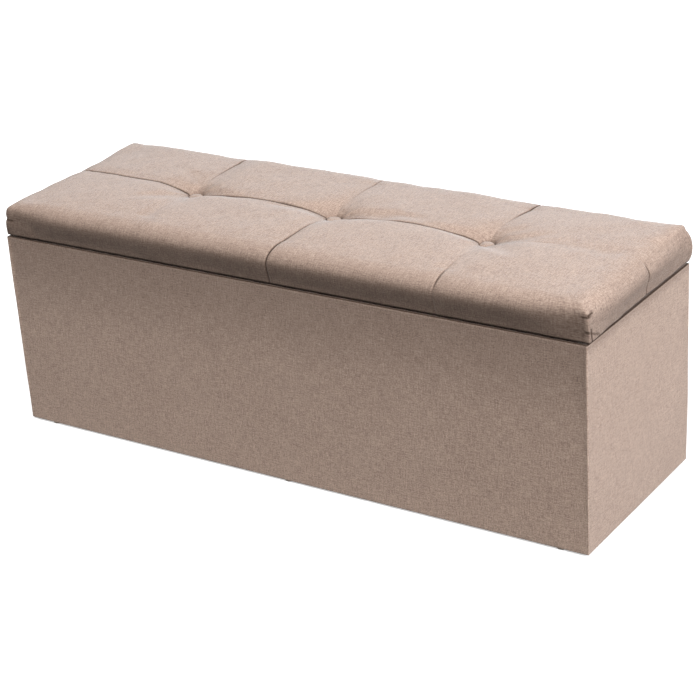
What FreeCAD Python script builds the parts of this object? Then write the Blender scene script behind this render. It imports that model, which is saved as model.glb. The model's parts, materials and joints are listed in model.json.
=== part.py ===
"""Storage bench: an upholstered box with a hinged, button-tufted seat lid.

The box is four boards joined at the corners, a floor board on battens, and one fabric sleeve over the
outside. The lid is a board with a foam pad and a sewn fabric cover, pulled down at three buttons. It
turns on three butt hinges at the back, and a gas strut at each end holds it open.

Frame: +X along the bench, +Y to the back, +Z up. The origin is on the floor, under the middle.
"""

import FreeCAD, Part
import math
import os

# ---- driving dimensions, in millimetres ------------------------------------------------------------
BODY_LENGTH = 1100.0  # upholstered box, outside
BODY_DEPTH = 356.0
BODY_HEIGHT = 344.0
FABRIC = 1.0  # cover cloth
NONWOVEN = 0.5  # dust covers
LINING = 1.0  # interior lining
BOARD = 15.0  # wall boards
FLOOR_BOARD = 9.0
BATTEN = 20.0
GLIDE_HEIGHT = 3.0
LID_GAP = 3.0  # rim to the lid's underside
LID_BOARD = 12.0
LID_BOARD_INSET = 6.0  # the lid board is this much smaller than the box on each side

TUFT_X = (-275.0, 6.0, 291.0)  # the buttons: the sewn cover sits a little to the right
BUTTON_RADIUS = 12.5

# Heights above the rim, and how far the sides stand out past the box
SEAT_EDGE_HEIGHT = 65.0  # where the shoulder meets the top
SEAT_CROWN = 4.5  # the top's rise from there to its middle, front to back
SEAT_END_CROWN = 40.0  # the same for the ends' steeper curve, which meets the other near the shoulders
SIDE_BULGE = 8.5
SIDE_BULGE_HEIGHT = 29.0
SHOULDER_HEIGHT = 48.0
SHOULDER_RUN = 30.0  # width of the rounded shoulder

# ---- levels and planes worked out from them --------------------------------------------------------
BASE_Z = GLIDE_HEIGHT + NONWOVEN
RIM_Z = BASE_Z + BODY_HEIGHT
LID_Z = RIM_Z + LID_GAP
LID_BOARD_Z = LID_Z + FABRIC
HALF_LENGTH = BODY_LENGTH / 2
HALF_DEPTH = BODY_DEPTH / 2
WALL_X = HALF_LENGTH - FABRIC  # outer face of the end boards
WALL_Y = HALF_DEPTH - FABRIC
INNER_X = WALL_X - BOARD  # inner face of the end boards
INNER_Y = WALL_Y - BOARD
BATTEN_Z = BASE_Z + FABRIC
FLOOR_Z = BATTEN_Z + BATTEN
RIM_FLANGE = 25.0  # how far the cover turns down inside the rim
LINING_X = INNER_X - FABRIC
LINING_Y = INNER_Y - FABRIC
LINING_TOP = RIM_Z - 10.0
SIDES = {"left": -1, "right": 1}

os.makedirs("parts", exist_ok=True)


# ---- helpers ---------------------------------------------------------------------------------------
def vec(x, y, z):
    return FreeCAD.Vector(x, y, z)


def box(x, y, z):
    """A box from three (low, high) pairs."""
    return Part.makeBox(x[1] - x[0], y[1] - y[0], z[1] - z[0], vec(x[0], y[0], z[0]))


def middle_box(half_x, half_y, z):
    """A box centred on the Z axis."""
    return box((-half_x, half_x), (-half_y, half_y), z)


def rod(radius, start, end):
    """A cylinder from one point to another."""
    along = end.sub(start)
    return Part.makeCylinder(radius, along.Length, start, along)


def fused(shapes):
    first, *rest = shapes
    return first.fuse(rest).removeSplitter() if rest else first


def save(name, shape):
    shape.exportStep(f"parts/{name}.step")


def save_group(name, solids):
    """Identical fasteners that share one node, as separate solids."""
    save(name, Part.makeCompound(solids))


SCREW_TIP = 0.3  # radius of a screw's blunt point
HOLE_CLEARANCE = 0.05


def countersunk_screw(head_at, direction, length, shank, head, head_depth):
    """A flat-head wood screw: its head's face is at head_at and its point lies along direction."""
    turned = vec(*direction).normalize()
    head_end = head_at + turned * head_depth
    point_start = head_at + turned * (length - 2 * shank)
    cone = Part.makeCone(head, shank, head_depth, head_at, turned)
    body = rod(shank, head_end, point_start)
    point = Part.makeCone(shank, SCREW_TIP, 2 * shank, point_start, turned)
    return fused([cone, body, point])


def countersunk_hole(head_at, direction, depth, shank, head, head_depth):
    """The hole that countersunk_screw's head and shank pass through."""
    turned = vec(*direction).normalize()
    cone = Part.makeCone(head + HOLE_CLEARANCE, shank + HOLE_CLEARANCE, head_depth, head_at, turned)
    return cone.fuse(rod(shank + HOLE_CLEARANCE, head_at, head_at + turned * depth))


def staple(at, across, into, crown=10.0, wire=0.7, leg=7.0):
    """A staple whose crown lies on a surface at `at`, along `across`, with legs along `into`."""
    half = across * (crown / 2)
    lift = into * (-wire / 2)
    crown_bar = rod(wire / 2, at - half + lift, at + half + lift)
    legs = [rod(wire / 2, at + end + lift, at + end + into * leg) for end in (half * -1, half)]
    return fused([crown_bar, *legs])


def spaced(low, high, pitch):
    """Evenly spaced places from low to high, about pitch apart."""
    count = max(1, round((high - low) / pitch))
    return [low + (high - low) * n / count for n in range(count + 1)]


# ---- box: boards, battens and their screws ---------------------------------------------------------
CARCASS_SCREW = {"shank": 2.0, "head": 4.0, "head_depth": 2.2}
CARCASS_SCREW_LENGTH = 50.0
CARCASS_SCREW_Z = (60.0, 175.0, 290.0)
BATTEN_SCREW = {"shank": 1.75, "head": 3.5, "head_depth": 1.8}
WALL_SCREW_LENGTH = 30.0  # through a batten into a wall
FLOOR_SCREW_LENGTH = 25.0  # through the floor board into a batten
BATTEN_SCREW_X = INNER_X - 90.0  # the outermost screws along the long battens
BATTEN_SCREW_PITCH = 290.0
BATTEN_SCREW_Y = (-90.0, 90.0)
FLOOR_SCREW_SHIFT = 25.0  # clear of the screws into the walls


def carcass_screw_places():
    """(side of the depth, head centre) of every screw through a long board into an end board."""
    x = WALL_X - BOARD / 2
    corners = [(side, end) for side in (-1, 1) for end in (-1, 1)]
    return [(side, vec(end * x, side * WALL_Y, z)) for side, end in corners for z in CARCASS_SCREW_Z]


def make_boards():
    height = (BASE_Z + FABRIC, RIM_Z - FABRIC)
    for name, side in (("front_panel", -1), ("back_panel", 1)):
        depth = sorted((side * INNER_Y, side * WALL_Y))
        board = box((-WALL_X, WALL_X), depth, height)
        holes = [
            countersunk_hole(at, vec(0, -side, 0), BOARD + 1, **CARCASS_SCREW)
            for of_side, at in carcass_screw_places()
            if of_side == side
        ]
        save(name, board.cut(holes))
    for name, side in SIDES.items():
        length = sorted((side * INNER_X, side * WALL_X))
        save(f"{name}_end_panel", box(length, (-INNER_Y, INNER_Y), height))
    save("floor_board", middle_box(INNER_X, INNER_Y, (FLOOR_Z, FLOOR_Z + FLOOR_BOARD)))


def make_carcass_screws():
    screws = [
        countersunk_screw(at, vec(0, -side, 0), CARCASS_SCREW_LENGTH, **CARCASS_SCREW)
        for side, at in carcass_screw_places()
    ]
    save_group("carcass_screws", screws)


def make_battens():
    height = (BATTEN_Z, FLOOR_Z)
    inside_y = INNER_Y - BATTEN
    for name, side in (("front", -1), ("back", 1)):
        depth = sorted((side * inside_y, side * INNER_Y))
        save(f"{name}_batten", box((-INNER_X, INNER_X), depth, height))
    for name, side in SIDES.items():
        length = sorted((side * (INNER_X - BATTEN), side * INNER_X))
        save(f"{name}_batten", box(length, (-inside_y, inside_y), height))


def make_batten_screws():
    """Into the walls through the battens, and down through the floor board into the battens."""
    middle = BATTEN / 2
    mid_z = BATTEN_Z + middle
    face_x = INNER_X - BATTEN
    face_y = INNER_Y - BATTEN
    places = spaced(-BATTEN_SCREW_X, BATTEN_SCREW_X, BATTEN_SCREW_PITCH)
    along = [(x, side) for x in places for side in (-1, 1)]
    across = [(y, side) for y in BATTEN_SCREW_Y for side in (-1, 1)]
    heads = [(vec(x, side * face_y, mid_z), vec(0, side, 0)) for x, side in along]
    heads += [(vec(side * face_x, y, mid_z), vec(side, 0, 0)) for y, side in across]
    into_walls = [countersunk_screw(at, way, WALL_SCREW_LENGTH, **BATTEN_SCREW) for at, way in heads]
    save_group("batten_screws", into_walls)
    top = FLOOR_Z + FLOOR_BOARD
    down = vec(0, 0, -1)
    heads = [vec(x + FLOOR_SCREW_SHIFT, side * (INNER_Y - middle), top) for x, side in along]
    heads += [vec(side * (INNER_X - middle), y + FLOOR_SCREW_SHIFT, top) for y, side in across]
    into_battens = [countersunk_screw(at, down, FLOOR_SCREW_LENGTH, **BATTEN_SCREW) for at in heads]
    save_group("floor_screws", into_battens)


# ---- box: fabric, lining, dust cover and glides ----------------------------------------------------
def make_body_cover():
    """The sleeve: outside, over the rim and down inside it, and turned under the bottom edge."""
    outside = middle_box(HALF_LENGTH, HALF_DEPTH, (BASE_Z, RIM_Z))
    opening = middle_box(LINING_X, LINING_Y, (BASE_Z, RIM_Z))
    boards = middle_box(WALL_X, WALL_Y, (BASE_Z + FABRIC, RIM_Z - FABRIC))
    flange = middle_box(INNER_X, INNER_Y, (RIM_Z - RIM_FLANGE, RIM_Z - FABRIC))
    under = middle_box(INNER_X, INNER_Y, (BASE_Z, BASE_Z + FABRIC))
    save("body_cover", outside.cut(opening).cut(boards.cut(flange)).cut(under))


def make_interior_lining():
    floor = FLOOR_Z + FLOOR_BOARD
    outside = middle_box(LINING_X, LINING_Y, (floor, LINING_TOP))
    inside = middle_box(LINING_X - LINING, LINING_Y - LINING, (floor + LINING, LINING_TOP))
    save("interior_lining", outside.cut(inside))


STAPLE_PITCH_X = 42.0
STAPLE_PITCH_Y = 40.0
RIM_STAPLE_DROP = 5.0  # below the lining's top edge
RIM_STAPLE_MARGIN = 20.0  # from the corners to the first staples


def make_rim_staples():
    """A row round the inside of the rim, through lining and cover into the boards."""
    z = LINING_TOP - RIM_STAPLE_DROP
    face_x = LINING_X - LINING
    face_y = LINING_Y - LINING
    end_x = face_x - RIM_STAPLE_MARGIN
    end_y = face_y - RIM_STAPLE_MARGIN
    staples = [
        staple(vec(x, side * face_y, z), vec(1, 0, 0), vec(0, side, 0))
        for side in (-1, 1)
        for x in spaced(-end_x, end_x, STAPLE_PITCH_X)
    ]
    staples += [
        staple(vec(side * face_x, y, z), vec(0, 1, 0), vec(side, 0, 0))
        for side in (-1, 1)
        for y in spaced(-end_y, end_y, STAPLE_PITCH_Y)
    ]
    save_group("rim_staples", staples)


BASE_CLOTH_X = HALF_LENGTH - 2.0
BASE_CLOTH_Y = HALF_DEPTH - 2.0
GLIDE_X = (-500.0, 0.0, 500.0)
GLIDE_Y = WALL_Y - BOARD / 2 - 2.0
GLIDE_RADIUS = 8.0
GLIDE_EDGE = 0.8
GLIDE_NAIL_RADIUS = 1.2
GLIDE_NAIL = 18.0
BASE_STAPLE_X = 460.0  # reach of the long rows
BASE_STAPLE_PITCH_X = 60.0
BASE_STAPLE_Y = 130.0  # reach of the end rows
BASE_STAPLE_PITCH_Y = 50.0
GLIDE_KEEP_OFF = 20.0  # no staple is nearer a glide than this


def make_base():
    save("base_dust_cover", middle_box(BASE_CLOTH_X, BASE_CLOTH_Y, (BASE_Z - NONWOVEN, BASE_Z)))
    surface = BASE_Z - NONWOVEN
    up = vec(0, 0, 1)
    row_x = INNER_X + BOARD / 3
    row_y = INNER_Y + BOARD / 3
    staples = [
        staple(vec(x, side * row_y, surface), vec(1, 0, 0), up)
        for side in (-1, 1)
        for x in spaced(-BASE_STAPLE_X, BASE_STAPLE_X, BASE_STAPLE_PITCH_X)
        if all(abs(x - glide) > GLIDE_KEEP_OFF for glide in GLIDE_X)
    ]
    staples += [
        staple(vec(side * row_x, y, surface), vec(0, 1, 0), up)
        for side in (-1, 1)
        for y in spaced(-BASE_STAPLE_Y, BASE_STAPLE_Y, BASE_STAPLE_PITCH_Y)
    ]
    save_group("base_staples", staples)
    for row, side in (("front", -1), ("back", 1)):
        for place, x in zip(("left", "middle", "right"), GLIDE_X, strict=True):
            at = vec(x, side * GLIDE_Y, 0)
            disc = Part.makeCylinder(GLIDE_RADIUS, GLIDE_HEIGHT, at)
            foot = disc.makeFillet(GLIDE_EDGE, [e for e in disc.Edges if e.BoundBox.ZMax < GLIDE_EDGE])
            top = at + vec(0, 0, GLIDE_HEIGHT)
            nail = rod(GLIDE_NAIL_RADIUS, top, top + vec(0, 0, GLIDE_NAIL))
            save(f"glide_{row}_{place}", fused([foot, nail]))


# ---- lid: board, foam, cover -----------------------------------------------------------------------
def cushion_profile(half_width, crown_rise, inset):
    """Half outline of the cushion, as (out from the middle, height) points, inset from the cloth's face."""
    out = half_width - inset
    bottom = LID_Z + inset
    side_low = (out - 1.0, bottom + 2.0)
    side_mid = (out + SIDE_BULGE, RIM_Z + SIDE_BULGE_HEIGHT)
    side_top = (out + 1.0, RIM_Z + SHOULDER_HEIGHT)
    shoulder_mid = (out - SHOULDER_RUN * 0.3, RIM_Z + SHOULDER_HEIGHT + 11.0 - inset)
    shoulder_top = (out - SHOULDER_RUN, RIM_Z + SEAT_EDGE_HEIGHT - inset)
    crown = (0.0, RIM_Z + SEAT_EDGE_HEIGHT + crown_rise - inset)
    return bottom, side_low, side_mid, side_top, shoulder_mid, shoulder_top, crown


def cushion_prism(half_width, half_length, crown_rise, inset, across):
    """The cushion's outline drawn across Y or X, and pulled along the other axis."""
    bottom, low, mid, top, shoulder, edge, crown = cushion_profile(half_width, crown_rise, inset)

    def at(point, sign=1):
        out, z = point
        return vec(-half_length, sign * out, z) if across == "y" else vec(sign * out, -half_length, z)

    foot = (low[0] - 4.0, bottom)
    edges = [
        Part.LineSegment(at(foot, -1), at(foot)),
        Part.LineSegment(at(foot), at(low)),
        Part.Arc(at(low), at(mid), at(top)),
        Part.Arc(at(top), at(shoulder), at(edge)),
        Part.Arc(at(edge), at(crown), at(edge, -1)),
        Part.Arc(at(edge, -1), at(shoulder, -1), at(top, -1)),
        Part.Arc(at(top, -1), at(mid, -1), at(low, -1)),
        Part.LineSegment(at(low, -1), at(foot, -1)),
    ]
    face = Part.Face(Part.Wire([edge.toShape() for edge in edges]))
    return face.extrude(vec(2 * half_length, 0, 0) if across == "y" else vec(0, 2 * half_length, 0))


TUFT_FLOOR = RIM_Z + 46.0  # the cloth under a button
TUFT_LOW_RADIUS = BUTTON_RADIUS + 1.5
TUFT_TOP_RADIUS = 55.0


def tuft_hollows(inset):
    """The cones that the buttons pull into the top."""
    top = RIM_Z + SEAT_EDGE_HEIGHT + SEAT_CROWN + 3.0
    floor = TUFT_FLOOR - inset
    low = TUFT_LOW_RADIUS + inset
    high = TUFT_TOP_RADIUS + inset
    return [Part.makeCone(low, high, top - floor, vec(x, 0, floor)) for x in TUFT_X]


def cushion_form(inset):
    """The cushion as a solid, its faces inset from the cloth's outer face."""
    beyond = 40.0
    along = cushion_prism(HALF_DEPTH, HALF_LENGTH + beyond, SEAT_CROWN, inset, "y")
    across = cushion_prism(HALF_LENGTH, HALF_DEPTH + beyond, SEAT_END_CROWN, inset, "x")
    return along.common(across).cut(tuft_hollows(inset))


LID_BOARD_X = HALF_LENGTH - LID_BOARD_INSET
LID_BOARD_Y = HALF_DEPTH - LID_BOARD_INSET
LID_FLANGE = 33.0  # how far the seat cover turns in under the lid
TWINE_RADIUS = 0.8
WASHER_RADIUS = 10.0
NEEDLE_HOLE_RADIUS = 1.2
WASHER = 1.0
WASHER_RECESS = 3.5
KNOT_RADIUS = 1.1
TWINE_HOLE_RADIUS = 2.0
SHANK_WELL_RADIUS = 3.0
SHANK_WELL = 10.0  # below the cloth under a button


def lid_board_solid():
    return middle_box(LID_BOARD_X, LID_BOARD_Y, (LID_BOARD_Z, LID_BOARD_Z + LID_BOARD))


def make_lid_soft_parts():
    outer = cushion_form(0.0)
    inner = cushion_form(FABRIC)
    flange_opening = middle_box(HALF_LENGTH - LID_FLANGE, HALF_DEPTH - LID_FLANGE, (LID_Z, LID_Z + FABRIC))
    needle_holes = [Part.makeCylinder(NEEDLE_HOLE_RADIUS, 80, vec(x, 0, LID_Z)) for x in TUFT_X]
    save("seat_cover", outer.cut(inner).cut([flange_opening, *needle_holes]))
    well_z = TUFT_FLOOR - SHANK_WELL
    shank_wells = [Part.makeCylinder(SHANK_WELL_RADIUS, SHANK_WELL + 2, vec(x, 0, well_z)) for x in TUFT_X]
    save("seat_foam", inner.cut([lid_board_solid(), *needle_holes, *shank_wells]))


def make_lid_board():
    twine_holes = [Part.makeCylinder(TWINE_HOLE_RADIUS, LID_BOARD, vec(x, 0, LID_BOARD_Z)) for x in TUFT_X]
    recesses = [Part.makeCylinder(WASHER_RADIUS + 1, WASHER_RECESS, vec(x, 0, LID_BOARD_Z)) for x in TUFT_X]
    save("lid_board", lid_board_solid().cut([*twine_holes, *recesses]))


LID_CLOTH_X = HALF_LENGTH - 15.0
LID_CLOTH_Y = HALF_DEPTH - 25.0
LID_STAPLE_INSET = 6.0  # from the cloth's edge
LID_STAPLE_MARGIN = 15.0
BUFFER_RADIUS = 5.0
BUFFER_EDGE = 0.8
BUFFER_INSET = 12.0  # from the end boards' outer faces
BUFFER_CLEARANCE = 0.3  # held just clear of the rim


def make_lid_underside():
    save("lid_dust_cover", middle_box(LID_CLOTH_X, LID_CLOTH_Y, (LID_Z - NONWOVEN, LID_Z)))
    surface = LID_Z - NONWOVEN
    up = vec(0, 0, 1)
    row_x = LID_CLOTH_X - LID_STAPLE_INSET
    row_y = LID_CLOTH_Y - LID_STAPLE_INSET
    end_x = row_x - LID_STAPLE_MARGIN
    end_y = row_y - LID_STAPLE_MARGIN
    staples = [
        staple(vec(x, side * row_y, surface), vec(1, 0, 0), up)
        for side in (-1, 1)
        for x in spaced(-end_x, end_x, STAPLE_PITCH_X)
    ]
    staples += [
        staple(vec(side * row_x, y, surface), vec(0, 1, 0), up)
        for side in (-1, 1)
        for y in spaced(-end_y, end_y, STAPLE_PITCH_Y)
    ]
    save_group("lid_staples", staples)
    height = LID_GAP - BUFFER_CLEARANCE
    buffers = []
    for side in SIDES.values():
        low = vec(side * (WALL_X - BUFFER_INSET), -(WALL_Y - BOARD / 2), LID_Z - height)
        disc = Part.makeCylinder(BUFFER_RADIUS, height, low)
        low_edges = [e for e in disc.Edges if e.BoundBox.ZMax < low.z + BUFFER_EDGE]
        buffers.append(disc.makeFillet(BUFFER_EDGE, low_edges))
    save_group("lid_buffers", buffers)


# ---- buttons ---------------------------------------------------------------------------------------
BUTTON_RIM = 2.0
BUTTON_DOME = 4.5
SHANK_RADIUS = 1.0
EYE_RADIUS = 1.6
EYE_WIRE = 0.6
EYE_DROP = 4.0  # from the button's underside down to the middle of its eye
TWINE_LOOP_RADIUS = 0.5
TWINE_LOOP_DROP = 2.1  # from the eye down to the middle of the loop that hangs in it


def make_buttons():
    dome_radius = (BUTTON_RADIUS**2 + BUTTON_DOME**2) / (2 * BUTTON_DOME)
    for name, x in zip(("left", "middle", "right"), TUFT_X, strict=True):
        low = vec(x, 0, TUFT_FLOOR)
        rim = Part.makeCylinder(BUTTON_RADIUS, BUTTON_RIM, low)
        ball = Part.makeSphere(dome_radius, low + vec(0, 0, BUTTON_RIM + BUTTON_DOME - dome_radius))
        above = Part.makeCylinder(BUTTON_RADIUS, BUTTON_DOME, low + vec(0, 0, BUTTON_RIM))
        shank = rod(SHANK_RADIUS, low + vec(0, 0, EYE_RADIUS - EYE_DROP), low + vec(0, 0, 1))
        eye = Part.makeTorus(EYE_RADIUS, EYE_WIRE, low + vec(0, 0, -EYE_DROP), vec(0, 1, 0))
        save(f"button_{name}", fused([rim, ball.common(above), shank, eye]))


def make_button_ties():
    """The twine: a loop in each button's eye, a line down through the board, and a knot under a washer."""
    twines = []
    washers = []
    washer_top = LID_BOARD_Z + WASHER_RECESS
    for x in TUFT_X:
        loop_at = vec(x, 0, TUFT_FLOOR - EYE_DROP - TWINE_LOOP_DROP)
        loop = Part.makeTorus(EYE_RADIUS, TWINE_LOOP_RADIUS, loop_at, vec(1, 0, 0))
        knot_at = vec(x, 0, washer_top - WASHER - KNOT_RADIUS)
        line = rod(TWINE_RADIUS, knot_at, loop_at + vec(0, 0, -EYE_RADIUS))
        knot = Part.makeSphere(KNOT_RADIUS, knot_at)
        twines.append(fused([loop, line, knot]))
        washer_at = vec(x, 0, washer_top - WASHER)
        disc = Part.makeCylinder(WASHER_RADIUS, WASHER, washer_at)
        washers.append(disc.cut(Part.makeCylinder(TWINE_RADIUS + 0.1, WASHER, washer_at)))
    save_group("button_twine", twines)
    save_group("button_washers", washers)


# ---- hinges ----------------------------------------------------------------------------------------
HINGE_X = {"left": -400.0, "middle": 0.0, "right": 400.0}
HINGE_LENGTH = 60.0
KNUCKLE = HINGE_LENGTH / 3
KNUCKLE_RADIUS = 3.0
PIN_RADIUS = 1.5
PIN_CLEARANCE = 0.05
PIN_STICKS_OUT = 1.0
LEAF = 1.35
HINGE_Y = HALF_DEPTH + 3.5
HINGE_Z = RIM_Z + LID_GAP / 2
HINGE_SCREW = {"shank": 1.5, "head": 2.9, "head_depth": LEAF}
HINGE_SCREW_X = (-20.0, 0.0, 20.0)
BODY_SCREW_Y = INNER_Y + BOARD / 2
LID_SCREW_Y = LID_BOARD_Y - 9.0
LEAF_MARGIN = 6.0  # from a leaf's screws to its free edge
KNUCKLE_PLAY = 0.3  # between neighbouring knuckles
NOTCH_PLAY = 0.4  # round the other leaf's knuckles
BODY_SCREW_LENGTH = 18.0
LID_SCREW_LENGTH = 12.0


def hinge_leaf(centre_x, z, own, other, bore_radius, screws_at, screw_way):
    """One leaf: a plate on z, its own knuckles, and notches where the other leaf's knuckles turn."""
    length = (centre_x - HINGE_LENGTH / 2, centre_x + HINGE_LENGTH / 2)
    plate = box(length, (screws_at[0].y - LEAF_MARGIN, HINGE_Y), z)
    axis_point = vec(0, HINGE_Y, HINGE_Z)
    barrels = [rod(KNUCKLE_RADIUS, axis_point + vec(a, 0, 0), axis_point + vec(b, 0, 0)) for a, b in own]
    notches = [
        box(
            (a - KNUCKLE_PLAY, b + KNUCKLE_PLAY),
            (HINGE_Y - KNUCKLE_RADIUS - NOTCH_PLAY, HINGE_Y + 1),
            (z[0] - 1, z[1] + 1),
        )
        for a, b in other
    ]
    bore = rod(
        bore_radius,
        vec(centre_x - HINGE_LENGTH, HINGE_Y, HINGE_Z),
        vec(centre_x + HINGE_LENGTH, HINGE_Y, HINGE_Z),
    )
    holes = [countersunk_hole(at, screw_way, LEAF + 1, **HINGE_SCREW) for at in screws_at]
    return fused([plate.cut(notches), *barrels]).cut([bore, *holes])


def make_hinges():
    low_plate = (RIM_Z, RIM_Z + LEAF)
    high_plate = (LID_Z - LEAF, LID_Z)
    end = HINGE_LENGTH / 2
    down = vec(0, 0, -1)
    up = vec(0, 0, 1)
    body_screws = []
    lid_screws = []
    for name, x in HINGE_X.items():
        outer = [(x - end, x - end + KNUCKLE), (x + end - KNUCKLE, x + end)]
        centre = [(x - end + KNUCKLE + KNUCKLE_PLAY, x + end - KNUCKLE - KNUCKLE_PLAY)]
        in_body = [vec(x + dx, BODY_SCREW_Y, low_plate[1]) for dx in HINGE_SCREW_X]
        in_lid = [vec(x + dx, LID_SCREW_Y, high_plate[0]) for dx in HINGE_SCREW_X]
        save(f"hinge_{name}_body_leaf", hinge_leaf(x, low_plate, outer, centre, PIN_RADIUS, in_body, down))
        loose = PIN_RADIUS + PIN_CLEARANCE
        save(f"hinge_{name}_lid_leaf", hinge_leaf(x, high_plate, centre, outer, loose, in_lid, up))
        pin_ends = [vec(x + side * (end + PIN_STICKS_OUT), HINGE_Y, HINGE_Z) for side in (-1, 1)]
        save(f"hinge_{name}_pin", rod(PIN_RADIUS, *pin_ends))
        body_screws += [countersunk_screw(at, down, BODY_SCREW_LENGTH, **HINGE_SCREW) for at in in_body]
        lid_screws += [countersunk_screw(at, up, LID_SCREW_LENGTH, **HINGE_SCREW) for at in in_lid]
    save_group("hinge_screws_body", body_screws)
    save_group("hinge_screws_lid", lid_screws)


# ---- gas struts ------------------------------------------------------------------------------------
# The two ball studs of a strut lie on one circle round the hinge axis. The strut's line then turns by
# exactly half the lid's angle, whatever that angle is, and the rod and the cylinder stay in line.
STRUT_CIRCLE = 160.0
LID_BALL_DROP = 16.0  # below the hinge axis, lid closed
BODY_BALL_Y = 145.0
STRUT_X = INNER_X - 16.0
BALL_RADIUS = 5.0
BALL_PLAY = 0.08
SOCKET_LIP = 0.4  # how much narrower a socket's mouth is than its ball
NECK_RADIUS = 2.5
SOCKET_RADIUS = 8.0
SOCKET_HALF_WIDTH = 6.0
SOCKET_NECK_RADIUS = 5.5
CYLINDER_RADIUS = 7.5
CYLINDER_BORE = 6.3
CYLINDER_CAP = 5.0  # thickness of its closed ends
CYLINDER_START = 14.0  # from the body ball, along the strut
CYLINDER_END = 162.0
ROD_RADIUS = 3.0
ROD_PLAY = 0.06
SPIGOT_RADIUS = 3.0  # the cylinder's stub in its socket
SPIGOT_START = 8.0
ROD_START = 12.0  # from the lid ball, along the strut
ROD_END = 164.0
PISTON = 8.0
PISTON_PLAY = 0.1
BRACKET = 2.0
LID_BALL = vec(0, HINGE_Y - math.sqrt(STRUT_CIRCLE**2 - LID_BALL_DROP**2), HINGE_Z - LID_BALL_DROP)
BODY_BALL = vec(0, BODY_BALL_Y, HINGE_Z - math.sqrt(STRUT_CIRCLE**2 - (HINGE_Y - BODY_BALL_Y) ** 2))
STRUT_LINE = (LID_BALL - BODY_BALL).normalize()


def ball_about_x(radius, centre):
    """A sphere whose poles are on X, where the studs and mouths meet it."""
    return Part.makeSphere(radius, centre, vec(1, 0, 0))


def strut_socket(ball, along, outward):
    """A strut's plastic end: a drum round the ball, open towards its stud, and a neck along the strut."""
    side = vec(SOCKET_HALF_WIDTH, 0, 0)
    drum = rod(SOCKET_RADIUS, ball - side, ball + side)
    neck = rod(SOCKET_NECK_RADIUS, ball, ball + along * CYLINDER_START)
    cavity = ball_about_x(BALL_RADIUS + BALL_PLAY, ball)
    mouth = rod(BALL_RADIUS - SOCKET_LIP, ball, ball + vec(outward * (SOCKET_HALF_WIDTH + 1), 0, 0))
    return fused([drum, neck]).cut([cavity, mouth])


def ball_stud(ball, face_x):
    """A ball on a neck that stands on the plane x = face_x."""
    return fused([ball_about_x(BALL_RADIUS, ball), rod(NECK_RADIUS, ball, vec(face_x, ball.y, ball.z))])


STRUT_SCREW = {"shank": 1.75, "head": 3.2, "head_depth": 1.6}
STRUT_SCREW_IN_BODY = 15.0  # lengths
STRUT_SCREW_IN_LID = 13.0
BODY_SCREW_OFFSET = 13.0  # up and down from the ball
BODY_PLATE = (20.0, 40.0)
BODY_PLATE_CORNER = 4.0
LID_SCREW_OFFSET = 9.0  # front and back from the ball
LID_SCREW_INSET = 20.0  # in from the bracket's outer face
LID_PLATE = (30.0, 28.0)
LID_TAB = 18.0  # width, and the diameter of its rounded end
TAB_GAP = 1.5  # from the socket to the tab


def make_body_bracket(name, side):
    ball = BODY_BALL + vec(side * STRUT_X, 0, 0)
    wall = side * (LINING_X - LINING)
    face = wall - side * BRACKET
    half_width, half_height = (size / 2 for size in BODY_PLATE)
    width = (ball.y - half_width, ball.y + half_width)
    plate = box(sorted((wall, face)), width, (ball.z - half_height, ball.z + half_height))
    upright_edges = [e for e in plate.Edges if e.BoundBox.XLength > BRACKET / 2]
    plate = plate.makeFillet(BODY_PLATE_CORNER, upright_edges)
    heads = [vec(face, ball.y, ball.z + dz) for dz in (-BODY_SCREW_OFFSET, BODY_SCREW_OFFSET)]
    into_wall = vec(side, 0, 0)
    holes = [countersunk_hole(at, into_wall, BRACKET + 1, **STRUT_SCREW) for at in heads]
    save(f"strut_{name}_body_bracket", fused([plate, ball_stud(ball, face)]).cut(holes))
    return [countersunk_screw(at, into_wall, STRUT_SCREW_IN_BODY, **STRUT_SCREW) for at in heads]


def make_lid_bracket(name, side):
    ball = LID_BALL + vec(side * STRUT_X, 0, 0)
    top = LID_Z - NONWOVEN
    tab_face = side * (STRUT_X + SOCKET_HALF_WIDTH + TAB_GAP)
    tab_back = tab_face + side * BRACKET
    plate_length, plate_width = LID_PLATE
    half_plate = plate_width / 2
    half_tab = LID_TAB / 2
    plate = box(
        sorted((tab_back - side * plate_length, tab_back)),
        (ball.y - half_plate, ball.y + half_plate),
        (top - BRACKET, top),
    )
    tab = box(sorted((tab_face, tab_back)), (ball.y - half_tab, ball.y + half_tab), (ball.z, top))
    tab_nose = rod(half_tab, vec(tab_face, ball.y, ball.z), vec(tab_back, ball.y, ball.z))
    stud = ball_stud(ball, tab_face)
    head_x = tab_back - side * LID_SCREW_INSET
    heads = [vec(head_x, ball.y + dy, top - BRACKET) for dy in (-LID_SCREW_OFFSET, LID_SCREW_OFFSET)]
    up = vec(0, 0, 1)
    holes = [countersunk_hole(at, up, BRACKET + 1, **STRUT_SCREW) for at in heads]
    save(f"strut_{name}_lid_bracket", fused([plate, tab, tab_nose, stud]).cut(holes))
    return [countersunk_screw(at, up, STRUT_SCREW_IN_LID, **STRUT_SCREW) for at in heads]


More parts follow.
